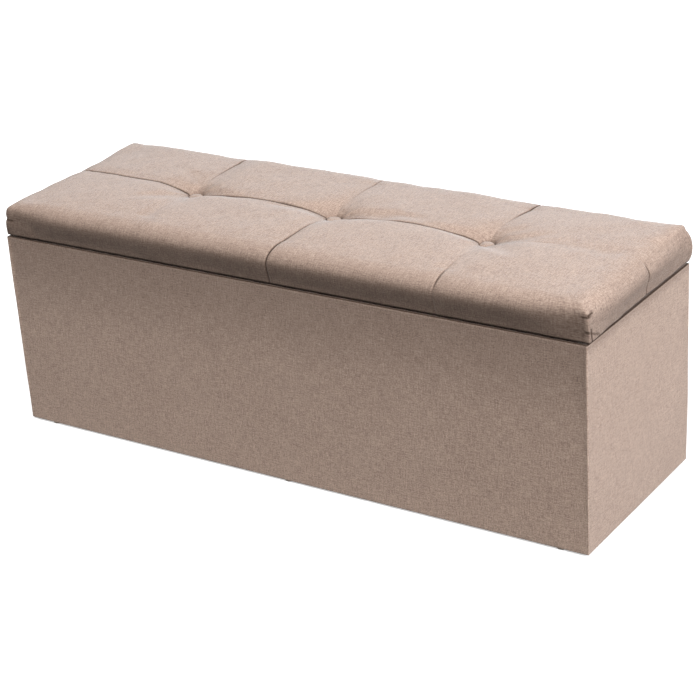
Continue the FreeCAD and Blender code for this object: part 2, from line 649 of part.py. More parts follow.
def make_strut(name, side):
    low = BODY_BALL + vec(side * STRUT_X, 0, 0)
    high = LID_BALL + vec(side * STRUT_X, 0, 0)
    up = STRUT_LINE
    down = STRUT_LINE * -1
    tube = rod(CYLINDER_RADIUS, low + up * CYLINDER_START, low + up * CYLINDER_END)
    bore_start = low + up * (CYLINDER_START + CYLINDER_CAP)
    bore = rod(CYLINDER_BORE, bore_start, low + up * (CYLINDER_END - CYLINDER_CAP))
    guide = rod(ROD_RADIUS + ROD_PLAY, low + up * CYLINDER_START * 2, low + up * (CYLINDER_END + 1))
    spigot = rod(SPIGOT_RADIUS, low + up * SPIGOT_START, low + up * (CYLINDER_START + 1))
    save(f"strut_{name}_cylinder", fused([tube, spigot]).cut([bore, guide]))
    save(f"strut_{name}_cylinder_end", strut_socket(low, up, side).cut([tube, spigot]))
    stem = rod(ROD_RADIUS, high + down * ROD_START, high + down * ROD_END)
    piston = rod(CYLINDER_BORE - PISTON_PLAY, high + down * (ROD_END - PISTON), high + down * ROD_END)
    save(f"strut_{name}_rod", fused([stem, piston]))
    save(f"strut_{name}_rod_end", strut_socket(high, down, side).cut(stem))


def make_struts():
    body_screws = []
    lid_screws = []
    for name, side in SIDES.items():
        body_screws += make_body_bracket(name, side)
        lid_screws += make_lid_bracket(name, side)
        make_strut(name, side)
    save_group("strut_screws_body", body_screws)
    save_group("strut_screws_lid", lid_screws)


make_boards()
make_carcass_screws()
make_battens()
make_batten_screws()
make_body_cover()
make_interior_lining()
make_rim_staples()
make_base()
make_lid_soft_parts()
make_lid_board()
make_lid_underside()
make_buttons()
make_button_ties()
make_hinges()
make_struts()
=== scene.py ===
"""The storage bench's looks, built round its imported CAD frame, in metres.

The seat cover is a sewn cloth over foam: a form worked out from its outline, settled by cloth simulation,
with its seams, tufts and corner folds added. The other soft pieces are cloth shells that follow the box.
Hinges, struts, boards and fasteners are the frame's own, with better materials.
"""

import json
import math

import bmesh
import bpy
import numpy as np
from mathutils import Matrix, Vector, kdtree, noise


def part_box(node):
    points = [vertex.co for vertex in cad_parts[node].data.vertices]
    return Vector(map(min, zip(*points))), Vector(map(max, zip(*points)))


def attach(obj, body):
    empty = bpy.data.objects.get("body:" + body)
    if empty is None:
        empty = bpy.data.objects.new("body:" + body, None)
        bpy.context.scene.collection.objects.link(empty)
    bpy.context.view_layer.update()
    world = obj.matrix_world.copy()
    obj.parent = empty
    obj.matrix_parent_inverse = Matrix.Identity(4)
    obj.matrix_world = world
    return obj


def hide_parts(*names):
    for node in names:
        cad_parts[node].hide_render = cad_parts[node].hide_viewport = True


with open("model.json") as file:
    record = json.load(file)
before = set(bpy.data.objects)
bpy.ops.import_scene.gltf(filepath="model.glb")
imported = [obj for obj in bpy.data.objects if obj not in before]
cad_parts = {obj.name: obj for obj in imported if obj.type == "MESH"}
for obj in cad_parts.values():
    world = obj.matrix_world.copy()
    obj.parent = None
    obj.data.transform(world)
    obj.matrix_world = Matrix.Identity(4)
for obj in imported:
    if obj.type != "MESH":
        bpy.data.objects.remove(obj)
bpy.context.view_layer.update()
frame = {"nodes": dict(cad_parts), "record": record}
MM = 0.001

# ---- sizes taken from the frame ----
BODY_LOW, BODY_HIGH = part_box("body_cover")
LINING_LOW, LINING_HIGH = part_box("interior_lining")
HALF_LENGTH = BODY_HIGH.x
HALF_DEPTH = BODY_HIGH.y
RIM_Z = BODY_HIGH.z
BASE_Z = BODY_LOW.z
LID_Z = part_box("seat_cover")[0].z
LID_BOARD_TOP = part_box("lid_board")[1].z
BUTTONS = [0.5 * (low + high) for low, high in map(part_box, ("button_left", "button_middle", "button_right"))]
BUTTON_X = [at.x for at in BUTTONS]
BUTTON_RADIUS = 0.5 * (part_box("button_middle")[1].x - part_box("button_middle")[0].x)
BUTTON_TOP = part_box("button_middle")[1].z
CLOTH = 1.0 * MM

# ---- the seat cover's form, from the rim up and from the box's faces out ----
SHOULDER = 34 * MM  # where the top turns into the sides, in from the box's faces
TOP_X = HALF_LENGTH - SHOULDER  # half the top's length and depth, between the shoulders
TOP_Y = HALF_DEPTH - SHOULDER
# (out from the box's face, height above the rim), from the shoulder down to the lid's bottom edge
FRONT_PROFILE = [(-34, 60.5), (-20, 58.9), (-8, 55.6), (1.5, 50.8), (7.2, 45.0)]
FRONT_PROFILE += [(9.2, 38.5), (8.2, 30.0), (5.6, 20.5), (2.4, 11.5), (0.9, 6.3), (0.2, 3.5)]
BACK_PROFILE = [(-34, 65.8), (-20, 65.4), (-8, 63.4), (1.5, 58.4), (7.0, 50.2)]
BACK_PROFILE += [(9.0, 41.0), (8.2, 31.0), (5.6, 20.5), (2.4, 11.5), (0.9, 6.3), (0.2, 3.5)]
END_PROFILE = [(-34, 60.5), (-21, 58.9), (-9, 55.6), (1.0, 50.0), (7.4, 42.5)]
END_PROFILE += [(9.8, 35.0), (8.4, 26.5), (5.6, 18.0), (3.2, 10.5), (2.1, 6.0), (1.4, 3.5)]
CORNER_PROFILE = [(-34, 60.5), (-20, 59.8), (-9, 58.0), (-1.5, 53.6), (2.6, 46.5)]
CORNER_PROFILE += [(4.8, 38.0), (5.4, 28.5), (4.6, 19.5), (3.0, 11.0), (1.8, 6.0), (1.0, 3.5)]
CORNER_REACH = 40 * MM
CORNER_STRETCH = 50 * MM  # the outline's places are spread out this far from each corner
CORNER_RADIUS = 1.5  # the corners' radius in plan at the lid's bottom, in millimetres
CORNER_RADIUS_MORE = 3.5  # and how much larger it is at the fullest
BACK_RISE = 5.3 * MM  # the ends and the top rise this much from the front to the back
BACK_FULLNESS = {  # how much further the panels stand up along the back edge
    "x": [-0.50, -0.47, -0.43, -0.37, -0.31, -0.23, -0.15, -0.07, 0.01, 0.09, 0.17, 0.25],
    "lift": [0.0, 3.2, 5.0, 3.2, 0.6, 6.4, 6.0, 3.4, 2.6, 2.0, 2.8, 0.0],
}
# for each corner, by the signs of (x, y): its drop in millimetres, its fullness, and how square it is
# (1 square, 0 rounded, less is rounder still)
CORNER_DROOP = {(-1, -1): 4.0, (1, -1): 1.6, (1, 1): 0.9, (-1, 1): 0.6}
CORNER_BULGE = {(-1, -1): 0.45, (1, -1): 0.6, (1, 1): 1.25, (-1, 1): 0.8}
CORNER_SQUARE = {(-1, -1): 0.1, (1, -1): -0.1, (1, 1): 0.7, (-1, 1): 0.2}
RIGHT_OVERHANG = 5.0 * MM  # the lid's right end stands out this much more near its front corner
FLANGE = [(out, 3.0) for out in (-1.2, -12, -24, -33)]  # turned in under the lid board
SIDE_PAINTED_SHADE = 0.63  # painted shade on the sides below the shoulder: 0 none, 1 as dark as a seam's painted shade
END_LIGHTER = 0.36  # the ends get this share less of that painted shade
GAP_PAINTED_SHADE = 0.95  # painted shade on the edges either side of the gap under the lid
CROWN = 4.2 * MM  # rise from the shoulder to the panels' middles
CROWN_RUN = (0.15, 0.10)  # the rise is complete this far in from the shoulder, in x and in y
TUFT_DEPTH = 12.0 * MM
TUFT_REACH = 14.5  # how far a button's pull reaches into the panels, in millimetres
TUFT_ALONG = 7.0  # how much further along the long seam
TUFT_TO_FRONT = 13.5  # and along the cross seams
TUFT_TO_BACK = 7.0
TUFT_FLOOR = BUTTON_TOP - 7 * MM
SEAM_RUN = {  # where the long seam runs, straight from one place to the next
    "x": [-HALF_LENGTH, BUTTON_X[0], BUTTON_X[2], HALF_LENGTH],
    "y": [11 * MM, 0.0, 0.0, 22 * MM],
}
CROSS_BEND = [(0.0, -6.0), (-9.0, -4.5), (8.0, 7.0)]  # each cross seam's shift in x at the front and the back
LONG_VALLEY = (2.0 * MM, 17 * MM)  # depth and half width of the hollow that a seam lies in
CROSS_VALLEY = (2.2 * MM, 19 * MM)
SIDE_RUN = 0.085  # along the cloth, from the shoulder to where the sides stop swelling
CORNER_PINCH = 1.5 * MM
FOAM_INSET = 5.5 * MM


# ---- helpers ----
def smooth(t):
    t = np.clip(t, 0, 1)
    return t * t * (3 - 2 * t)


def ramp(value, start, width):
    """0 up to start and 1 from start + width, which are in millimetres."""
    return smooth((value - start * MM) / (width * MM))


def hill(t):
    """1 where t is 0, falling smoothly to nearly 0 where it is 2 or more either way."""
    return np.exp(-(t**2))


def fbm(points, scale, octaves, seed):
    """Smooth noise from -1 to 1 at each point, with features about scale across."""
    shift = Vector((seed * 7.31, seed * 3.17, seed * 5.77))
    return np.array([noise.fractal(Vector(p) / scale + shift, 0.7, 2.0, octaves) for p in points])


def curve_through(points, spacing, gauge=None):
    """Points on a smooth curve through the given ones, about spacing apart along it, or along the gauge."""
    points = np.array(points, float)
    gauge = points if gauge is None else np.array(gauge, float)
    padded = np.vstack([2 * points[0] - points[1], points, 2 * points[-1] - points[-2]])
    out = [points[0]]
    lengths = np.linalg.norm(np.diff(gauge, axis=0), axis=1)
    for a, b, c, d, length in zip(padded, padded[1:], padded[2:], padded[3:], lengths):
        steps = max(1, round(length / spacing))
        for t in np.arange(1, steps + 1) / steps:
            square = (2 * a - 5 * b + 4 * c - d) * t**2
            cube = (3 * b - 3 * c + d - a) * t**3
            out.append(0.5 * (2 * b + (c - a) * t + square + cube))
    return np.array(out)


GRADING_STEPS = 6000


def graded_lines(low, high, coarse, zones=()):
    """Grid lines from low to high, coarse apart, and closer within each zone: (middle, reach, pitch)."""
    steps = np.linspace(low, high, GRADING_STEPS)
    density = np.full(steps.shape, 1 / coarse)
    for middle, reach, pitch in zones:
        near = 1 - smooth((np.abs(steps - middle) - reach) / reach)
        density = np.maximum(density, near / pitch)
    total = np.concatenate([[0], np.cumsum(0.5 * (density[1:] + density[:-1]) * np.diff(steps))])
    count = int(round(total[-1]))
    return np.interp(np.linspace(0, total[-1], count + 1), total, steps)


def mesh_piece(name, points, faces, face_uvs=None, shades=None):
    """A smooth mesh. face_uvs are its faces' corners on the flat cloth in metres, shades a painted shade per
    point, below 0 a painted light.
    """
    mesh = bpy.data.meshes.new(name)
    mesh.from_pydata([tuple(p) for p in points], [], [tuple(int(i) for i in f) for f in faces])
    mesh.polygons.foreach_set("use_smooth", [True] * len(mesh.polygons))
    if face_uvs is not None:
        layer = mesh.uv_layers.new(name="Weave")
        layer.data.foreach_set("uv", np.asarray(face_uvs, np.float32).reshape(-1))
    if shades is not None:
        tint = mesh.attributes.new("shade", "FLOAT", "POINT")
        tint.data.foreach_set("value", np.asarray(shades, np.float32))
    mesh.update()
    piece = bpy.data.objects.new(name, mesh)
    bpy.context.scene.collection.objects.link(piece)
    return piece


def grid_faces(index):
    """Quads over a table of point numbers."""
    return np.stack(quad_corners(index), axis=-1).reshape(-1, 4)


def grid_uvs(u, v):
    """The quads' corners on the flat cloth, from two tables like grid_faces's."""
    return np.stack(quad_corners(np.stack([u, v], axis=-1)), axis=-2).reshape(-1, 4, 2)


def quad_corners(table):
    return [table[:-1, :-1], table[1:, :-1], table[1:, 1:], table[:-1, 1:]]


def closed(ring):
    """A table of point numbers with its first column again at the end."""
    return np.concatenate([ring, ring[:, :1]], axis=1)


def running_length(points):
    """The length along a line of points, from 0 at the first."""
    return np.concatenate([[0], np.cumsum(np.linalg.norm(np.diff(points, axis=0), axis=1))])


def vertex_normals(points, faces):
    a, b, c, d = (points[faces[:, i]] for i in range(4))
    across = np.cross(c - a, d - b)
    total = np.zeros_like(points)
    for i in range(4):
        np.add.at(total, faces[:, i], across)
    return total / np.maximum(np.linalg.norm(total, axis=1, keepdims=True), 1e-12)


def add_thickness(piece, thickness):
    """Thickens a cloth inwards from its outer face."""
    solid = piece.modifiers.new("thickness", "SOLIDIFY")
    solid.thickness = thickness
    solid.offset = -1.0


def segment_distance(points, start, end):
    """Each 2-D point's distance from a straight line between two places."""
    start = np.array(start, float)
    along = np.array(end, float) - start
    t = np.clip(((points - start) @ along) / (along @ along), 0, 1)
    return np.linalg.norm(points - start - t[:, None] * along, axis=1)


# ---- seat cover ----
def seam_y(x):
    return np.interp(x, SEAM_RUN["x"], SEAM_RUN["y"])


def seam_x(n, y):
    """Where cross seam n runs: it bends a little either way from its button."""
    front, back = CROSS_BEND[n]
    return BUTTON_X[n] + np.interp(y, [-HALF_DEPTH, 0, HALF_DEPTH], [front * MM, 0, back * MM])


def from_button(x, y):
    """The distance to the nearest button's middle."""
    return np.min([np.hypot(x - button, y) for button in BUTTON_X], axis=0)


def tuft_drop(x, y):
    """How far the buttons pull the top down: furthest along the seams, least into the panels."""
    drop = np.zeros(np.broadcast(x, y).shape)
    for button in BUTTON_X:
        r = np.hypot(x - button, y)
        angle = np.arctan2(y, x - button)
        across = np.where(y < 0, TUFT_TO_FRONT, TUFT_TO_BACK)
        reach = (TUFT_REACH + TUFT_ALONG * np.cos(angle) ** 4 + across * np.sin(angle) ** 4) * MM
        beyond = np.maximum(r - BUTTON_RADIUS, 0)
        drop = np.maximum(drop, TUFT_DEPTH * np.exp(-beyond / reach) / (1 + (beyond / (60 * MM)) ** 4))
    return drop


def seam_valley(x, y):
    """The shallow valleys along the seams."""
    long_seam = LONG_VALLEY[0] * hill((y - seam_y(x)) / LONG_VALLEY[1])
    cross_seams = sum(hill((x - seam_x(n, y)) / CROSS_VALLEY[1]) for n in range(len(BUTTON_X)))
    return np.maximum(long_seam, CROSS_VALLEY[0] * cross_seams)


def corner_nearness(x, y, reach):
    from_corner = np.hypot(HALF_LENGTH - np.abs(x), HALF_DEPTH - np.abs(y))
    return hill(from_corner / reach)


def back_rise(x, y):
    """How much higher the top is than at the front edge."""
    t = np.clip(0.5 + 0.5 * y / TOP_Y, 0, 1)
    full = np.interp(x, BACK_FULLNESS["x"], BACK_FULLNESS["lift"])
    return BACK_RISE * t + full * MM * t**4


def by_corner(values, x, y):
    """Each point's value from the table for its nearest corner."""
    rows = [[values[right, back] for back in (-1, 1)] for right in (-1, 1)]
    return np.array(rows)[(np.asarray(x) > 0).astype(int), (np.asarray(y) > 0).astype(int)]


def top_height(x, y):
    """The top's height above the rim."""
    in_x = TOP_X - np.abs(x)
    in_y = TOP_Y - np.abs(y)
    rise_x, rise_y = (1 - (1 - np.clip(d / run, 0, 1)) ** 2 for d, run in zip((in_x, in_y), CROWN_RUN))
    edge = FRONT_PROFILE[0][1] * MM + back_rise(x, y)
    fade = ramp(np.minimum(in_x, in_y), 0, 10)
    drop = tuft_drop(x, y) + seam_valley(x, y) * (0.45 + 0.55 * fade)
    droop = by_corner(CORNER_DROOP, x, y) * MM * corner_nearness(x, y, 0.07)
    return edge + CROWN * (rise_x * rise_y) - drop - droop


def side_levels(spacing, with_flange):
    """Each profile's levels from the shoulder down, as (out, height), and the cloth's length to each."""
    sets = [
        curve_through(np.array(profile) * MM, spacing, np.array(FRONT_PROFILE) * MM)
        for profile in (FRONT_PROFILE, END_PROFILE, BACK_PROFILE, CORNER_PROFILE)
    ]
    if with_flange:
        sets = [np.vstack([levels, np.array(FLANGE) * MM]) for levels in sets]
    return sets, running_length(sets[0])


def rounded_rectangle(half_x, half_y, radius, side, along):
    """Points on a rounded rectangle, at a place along a side: 0 front, 1 right, 2 back or 3 left."""
    half = np.where(side % 2 == 0, half_x, half_y)
    other = np.where(side % 2 == 0, half_y, half_x)
    to_corner = half - np.abs(along)
    turn = 0.25 * math.pi * np.clip(1 - to_corner / radius, 0, 1)
    on_arc = to_corner < radius
    a = np.where(on_arc, np.sign(along) * (half - radius + radius * np.sin(turn)), along)
    b = np.where(on_arc, other - radius + radius * np.cos(turn), other)
    return np.select([side == 1, side == 3], [b, -b], a), np.select([side == 0, side == 2], [-b, b], a)


def ring_of(nx, ny):
    """The top grid's border, anticlockwise from the front left corner: its grid places and their sides."""
    to_right, to_back = np.arange(nx), np.arange(1, ny)
    to_left, to_front = np.arange(nx - 2, -1, -1), np.arange(ny - 2, 0, -1)
    i = np.concatenate([to_right, np.full(ny - 1, nx - 1), to_left, np.zeros(ny - 2, int)])
    j = np.concatenate([np.zeros(nx, int), to_back, np.full(nx - 1, ny - 1), to_front])
    return i, j, np.repeat([0, 1, 2, 3], [nx, ny - 1, nx - 1, ny - 2])


def right_front_nearness(x, y):
    return ramp(x - HALF_LENGTH, -40, 40) * hill((y + HALF_DEPTH) / (90 * MM))


def level_outline(out, height, side, along):
    """The plan outline where the cloth stands `out` from the box's faces at each border point."""
    half = np.where(side % 2 == 0, HALF_LENGTH, HALF_DEPTH)
    top_gap = half - SHOULDER - np.abs(along)
    grow = (SHOULDER + out) * np.clip(1 - top_gap / CORNER_STRETCH, 0, 1) ** 2
    place = np.sign(along) * (np.abs(along) + grow)
    t = smooth((out + SHOULDER) / (SHOULDER + 4 * MM))
    radius = (CORNER_RADIUS + CORNER_RADIUS_MORE * t * ramp(height, 6, 30)) * MM
    return rounded_rectangle(HALF_LENGTH + out, HALF_DEPTH + out, radius, side, place)


def blended_level(profiles, n, side, border, at_corner):
    """How far out and how high level n lies at each border point: its side's profile, or the corners'."""
    front, end, back, corner = profiles
    x, y, _ = border.T
    upper = np.clip(corner[n, 1] / corner[0, 1], 0, 1) ** 2
    rise = np.stack([np.zeros(len(x)), back_rise(x, y) * upper], axis=-1)
    droop = by_corner(CORNER_DROOP, x, y) * MM * upper
    squared = 1 - by_corner(CORNER_SQUARE, x, y) * ramp(corner[n, 0] + SHOULDER, 0, 25)
    bulge = np.where(corner[n, 0] > 0, by_corner(CORNER_BULGE, x, y), squared)
    at = side[:, None]
    level = np.select([at == 0, at == 2], [front[n] + 0 * rise, back[n] + 0 * rise], end[n] + rise)
    turned = np.stack([corner[n, 0] * bulge, corner[n, 1] - droop], axis=-1) + rise
    return (level + (turned - level) * at_corner).T


def top_lines(coarse, button_zones, edge_zones=()):
    """Grid lines over the top in x and y, closer at the buttons and shoulders. A zone is (reach, pitch)."""
    lines = []
    for axis, (edge, middles) in enumerate(((TOP_X, BUTTON_X), (TOP_Y, [0]))):
        zones = [(middle, *zone) for zone in button_zones for middle in middles]
        if edge_zones:
            zones += [(sign * edge, *edge_zones[axis]) for sign in (-1, 1)]
        lines.append(graded_lines(-edge, edge, coarse[axis], zones))
    return lines


def cover_form(xs, ys, spacing, with_flange):
    """The cover's points, its quads, each quad's corners on the flat cloth, and the sides' point numbers."""
    nx, ny = len(xs), len(ys)
    grid_x, grid_y = np.meshgrid(xs, ys, indexing="ij")
    bend = hill(grid_y / (70 * MM))
    shifts = [
        (seam_x(n, grid_y) - button) * hill((grid_x - button) / (70 * MM))
        for n, button in enumerate(BUTTON_X)
    ]
    grid_y = grid_y + seam_y(grid_x) * bend
    grid_x = grid_x + sum(shifts)
    top = np.stack([grid_x, grid_y, RIM_Z + top_height(grid_x, grid_y)], axis=-1).reshape(-1, 3)
    index = np.arange(nx * ny).reshape(nx, ny)

    i, j, side = ring_of(nx, ny)
    border = top[index[i, j]]
    along = np.where(side % 2 == 0, border[:, 0], border[:, 1])
    profiles, down = side_levels(spacing, with_flange)
    front = profiles[0]
    to_corner = np.where(side % 2 == 0, TOP_X, TOP_Y) - np.abs(along)
    at_corner = hill(to_corner / CORNER_REACH)[:, None]
    middle = np.argmax(front[:, 0])
    normal_x = np.select([side == 1, side == 3], [1, -1], 0)
    normal_y = np.select([side == 0, side == 2], [-1, 1], 0)
    seam_dip = seam_valley(border[:, 0], border[:, 1])
    near_corner = corner_nearness(border[:, 0], border[:, 1], 0.06)
    wave = fbm(border * [1, 1, 0], 0.11, 2, seed=4) * 1.2 * MM
    top_level = blended_level(profiles, 0, side, border, at_corner)[1]
    rows = [index[i, j]]
    points = [top]
    for n in range(1, len(front)):
        out, height = blended_level(profiles, n, side, border, at_corner)
        swell = max(0.0, math.sin(math.pi * np.clip(down[n] / SIDE_RUN, 0, 1)))
        x, y = level_outline(out, height, side, along)
        x = x + RIGHT_OVERHANG * right_front_nearness(x, y) * (1 - ramp(height, 40, 20))
        push = swell * (wave - 0.55 * seam_dip - CORNER_PINCH * near_corner)
        fade = 1 - smooth(n / middle)
        z = RIM_Z + height + (border[:, 2] - RIM_Z - top_level) * fade
        points.append(np.stack([x + normal_x * push, y + normal_y * push, z], axis=-1))
        rows.append(len(top) + (n - 1) * len(side) + np.arange(len(side)))
    ring = closed(np.array(rows))
    faces = np.concatenate([grid_faces(index), grid_faces(ring)])
    uvs = np.concatenate([grid_uvs(grid_x, grid_y), side_uvs(side, along, down)])
    return np.concatenate(points), faces, uvs, ring


def side_uvs(side, along, down):
    """The sides' quads on the flat cloth: each side unfolds straight down from the shoulder."""
    face_side = np.roll(side, -1)
    limit = np.select([face_side == 1, face_side == 3], [-TOP_Y, TOP_Y], TOP_X)
    start = np.where(side != face_side, limit, along)[None, :]
    end = np.roll(along, -1)[None, :]
    low, high = down[:-1, None], down[1:, None]

    def place(a, d):
        u = np.select([face_side == 1, face_side == 3], [TOP_X + d, -TOP_X - d], a)
        v = np.select([face_side == 0, face_side == 2], [-TOP_Y - d, TOP_Y + d], a)
        return np.stack(np.broadcast_arrays(u, v), axis=-1)

    corners = [place(start, low), place(start, high), place(end, high), place(end, low)]
    return np.stack(np.broadcast_arrays(*corners), axis=-2).reshape(-1, 4, 2)


CLOTH_SETTINGS = {
    "quality": 6,
    "mass": 0.25,
    "tension_stiffness": 25,
    "compression_stiffness": 25,
    "shear_stiffness": 8,
    "bending_stiffness": 2.5,
    "shrink_min": -0.006,
    "use_pressure": True,
    "uniform_pressure_force": 3,
    "vertex_group_mass": "held",
}
SETTLE_FRAMES = 20
SETTLE_LIMIT = 2.2 * MM  # no point moves further than this
SETTLE_REACH = 9 * MM  # the moves are smoothed over about this much


def settle_cloth(points, faces, held):
    """How far each point moves when the cloth is blown up gently against its tufts and edges."""
    piece = mesh_piece("settling_cloth", points, faces)
    group = piece.vertex_groups.new(name="held")
    group.add([int(n) for n in np.flatnonzero(held)], 1.0, "REPLACE")
    cloth = piece.modifiers.new("cloth", "CLOTH")
    for key, value in CLOTH_SETTINGS.items():
        setattr(cloth.settings, key, value)
    cloth.settings.effector_weights.gravity = 0
    cloth.collision_settings.use_collision = False
    cloth.point_cache.frame_start = 1
    cloth.point_cache.frame_end = SETTLE_FRAMES
    for step in range(1, SETTLE_FRAMES + 1):
        bpy.context.scene.frame_set(step)
    settled = piece.evaluated_get(bpy.context.evaluated_depsgraph_get())
    moved = np.array([v.co for v in settled.data.vertices]) - points
    bpy.data.objects.remove(piece)
    bpy.context.scene.frame_set(1)
    length = np.linalg.norm(moved, axis=1, keepdims=True)
    return moved * np.minimum(1, SETTLE_LIMIT / np.maximum(length, 1e-9))


def carry_over(moved, from_points, to_points):
    """A smooth version of the moves, taken to other points on the same form."""
    tree = kdtree.KDTree(len(from_points))
    for n, p in enumerate(from_points):
        tree.insert(p, n)
    tree.balance()
    out = np.zeros_like(to_points)
    for n, p in enumerate(to_points):
        near = tree.find_n(p, 10)
        weights = np.array([math.exp(-((d / SETTLE_REACH) ** 2)) + 1e-6 for _, _, d in near])
        out[n] = weights @ moved[[i for _, i, _ in near]] / weights.sum()
    return out


GROOVE = 2.0 * MM  # half the width of a seam's groove
SEAM_DEPTH = 1.7 * MM
# a seam's mark sets its groove's depth and its painted shade
LONG_SEAM = {"x": [-0.55, 0.275, 0.30, 0.5, 0.545, 0.552], "mark": [1.0, 1.0, 0.06, 0.03, 0.1, 0.95]}
CROSS_SEAM = {  # marks from the front edge's underside to the back's, for the left, middle and right seam
    "y": [-0.19, -0.165, -0.13, -0.07, -0.02, 0.02, 0.06, 0.12, 0.17],
    "marks": [
        [0.12, 0.08, 0.05, 0.02, 0.0, 0.0, 0.3, 0.9, 0.8],
        [1.0, 1.0, 1.0, 0.6, 0.0, 0.0, 0.08, 0.45, 0.6],
        [0.5, 0.9, 0.3, 0.05, 0.0, 0.0, 0.1, 1.0, 1.0],
    ],
}


def seam_marks(points):
    """How strongly each point lies in a sewn line, from 0 to 1: its groove's depth and its painted shade. Some
    stretches are pulled flat.
    """
    x, y, _ = points.T
    marks = np.interp(x, LONG_SEAM["x"], LONG_SEAM["mark"]) * hill((y - seam_y(x)) / GROOVE)
    for n, row in enumerate(CROSS_SEAM["marks"]):
        strength = np.interp(y, CROSS_SEAM["y"], row)
        marks = np.maximum(marks, strength * hill((x - seam_x(n, y)) / GROOVE))
    return marks


def tuft_wrinkles(points):
    """Fine folds that run out from the buttons, and a few along the hidden end of the long seam."""
    x, y, _ = points.T
    total = np.zeros(len(points))
    for n, button in enumerate(BUTTON_X):
        r = np.hypot(x - button, y)
        angle = np.arctan2(y, x - button)
        folds = np.sin(9 * angle + 1.3 * n) + 0.6 * np.sin(15 * angle + 2.1 * n + 1)
        total += 0.45 * MM * folds * ramp(r, 11, 8) * hill(r / (34 * MM))
    past = x - BUTTON_X[2]
    ripple = np.sin((y - 0.25 * past) / (2.3 * MM)) * hill((y - 0.08 * past) / (14 * MM))
    total += 0.25 * MM * ripple * smooth(past / 0.03) * hill((past - 0.06) / 0.07)
    return total


# Each fold at a corner: from and to, as (round the corner, height above the rim), half width, depth, painted
# shade
RIGHT_FOLDS = [
    ((13.0, 4.0), (12.0, 23.0), 2.8, 0.5, 1.0),
    ((-3.0, 20.5), (5.0, 20.5), 1.9, 0.4, 0.9),
    ((5.0, 20.5), (36.0, 7.0), 2.0, 0.4, 0.75),
    ((-8.0, 42.5), (4.0, 44.5), 1.8, 0.4, 1.0),
    ((4.0, 44.5), (17.0, 46.0), 2.5, 0.4, 1.0),
]
LEFT_FOLDS = [
    ((-17.0, 30.0), (-5.0, 32.0), 1.9, 0.9, 0.95),
    ((-5.0, 32.0), (5.0, 34.0), 3.6, 2.2, 0.5),
    ((-3.5, 3.0), (-2.5, 16.0), 1.4, 0.6, 0.8),
]
BACK_FOLDS = 0.3  # the back corners' folds are this faint beside the front ones


def corner_folds(points, near, around):
    """The pinches where the cover is folded at each corner: depth inwards, and their painted shade."""
    flat = np.stack([around / MM, (points[:, 2] - RIM_Z) / MM], axis=-1)
    depth = np.zeros(len(points))
    dark = np.zeros(len(points))
    for sign, folds in ((1, RIGHT_FOLDS), (-1, LEFT_FOLDS)):
        here = near * (np.sign(points[:, 0]) == sign) * np.where(points[:, 1] < 0, 1.0, BACK_FOLDS)
        for start, end, width, deep, shade in folds:
            line = hill(segment_distance(flat, start, end) / width) * here
            depth = np.maximum(depth, deep * MM * line)
            dark = np.maximum(dark, shade * np.minimum(1, 1.6 * line))
    return depth, dark


def around_corner(points):
    """The distance round the nearest upright corner, negative on the front and back, and how near it is."""
    x, y, _ = points.T
    beyond = 8 * MM
    dx = HALF_LENGTH + beyond - np.abs(x)
    dy = HALF_DEPTH + beyond - np.abs(y)
    near = smooth(1 - (np.hypot(dx, dy) - 34 * MM) / (26 * MM))
    return dy - dx, near


def on_outside(x, y):
    """1 on the outer faces, 0 where the cloth is turned in."""
    outside = np.maximum(np.abs(x) - HALF_LENGTH, np.abs(y) - HALF_DEPTH)
    return ramp(outside, -4, 3)


def on_end(x, width):
    """1 on the end faces, fading out over this width in millimetres before them."""
    return ramp(np.abs(x) - HALF_LENGTH, -width, width)


def cover_shades(points, marks):
    """The painted shade at each point: the marks, the sides under the shoulder, and the lid's bottom edge over
    the gap.
    """
    x, y, z = points.T
    # painted shade: the sides darken from the shoulder down, the ends less
    on_side = ramp(RIM_Z + 66 * MM + back_rise(x, y) - z, 0, 30) * SIDE_PAINTED_SHADE
    on_side = on_side * (1 - END_LIGHTER * on_end(x, 4))
    # painted shade along the lid's bottom edge over the gap
    bottom = ramp(LID_Z + 4 * MM - z, 0, 2.4) * on_outside(x, y) * GAP_PAINTED_SHADE
    return np.clip(np.maximum.reduce([*marks, on_side, bottom]), 0, 1)


def make_seat_cover():
    """The sewn cover, from its settled form: seams, folds and creases are pressed in along the normals."""
    button_zones = [(17 * MM, 1.25 * MM), (2.5 * MM, 0.7 * MM)]
    xs, ys = top_lines((6.5 * MM, 6 * MM), button_zones, [(26 * MM, 1.5 * MM), (22 * MM, 1.6 * MM)])
    form, faces, uvs, _ = cover_form(xs, ys, 2.6 * MM, True)
    form += cloth_moves(form)
    x, y, z = form.T
    held = ramp(z - LID_Z, 2, 8)
    under_button = 1 - ramp(from_button(x, y), 13, 1.6)
    seams = seam_marks(form) * ramp(z - LID_Z, -1, 3) * (1 - under_button)
    around, near = around_corner(form)
    fold_depth, fold_painted_shade = corner_folds(form, near, around)
    loose = fbm(form, 0.10, 3, seed=2) * 1.1 * MM + fbm(form, 0.03, 2, seed=9) * 0.25 * MM
    lift = held * (loose + tuft_wrinkles(form)) - SEAM_DEPTH * seams - fold_depth
    points = form + vertex_normals(form, faces) * lift[:, None]
    points[:, 2] = points[:, 2] * (1 - under_button) + np.minimum(points[:, 2], TUFT_FLOOR) * under_button
    points[:, 2] = np.maximum(points[:, 2], LID_Z)
    # painted shade in the seams' grooves, the corner folds and the crevice round the buttons
    shades = cover_shades(form, [seams, fold_painted_shade, under_button * 0.8])
    cover = mesh_piece("seat_cover_cloth", points, faces, uvs, shades)
    add_thickness(cover, CLOTH)
    cover.data.materials.append(linen("seat_linen"))
    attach(cover, "lid")
    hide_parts("seat_cover")


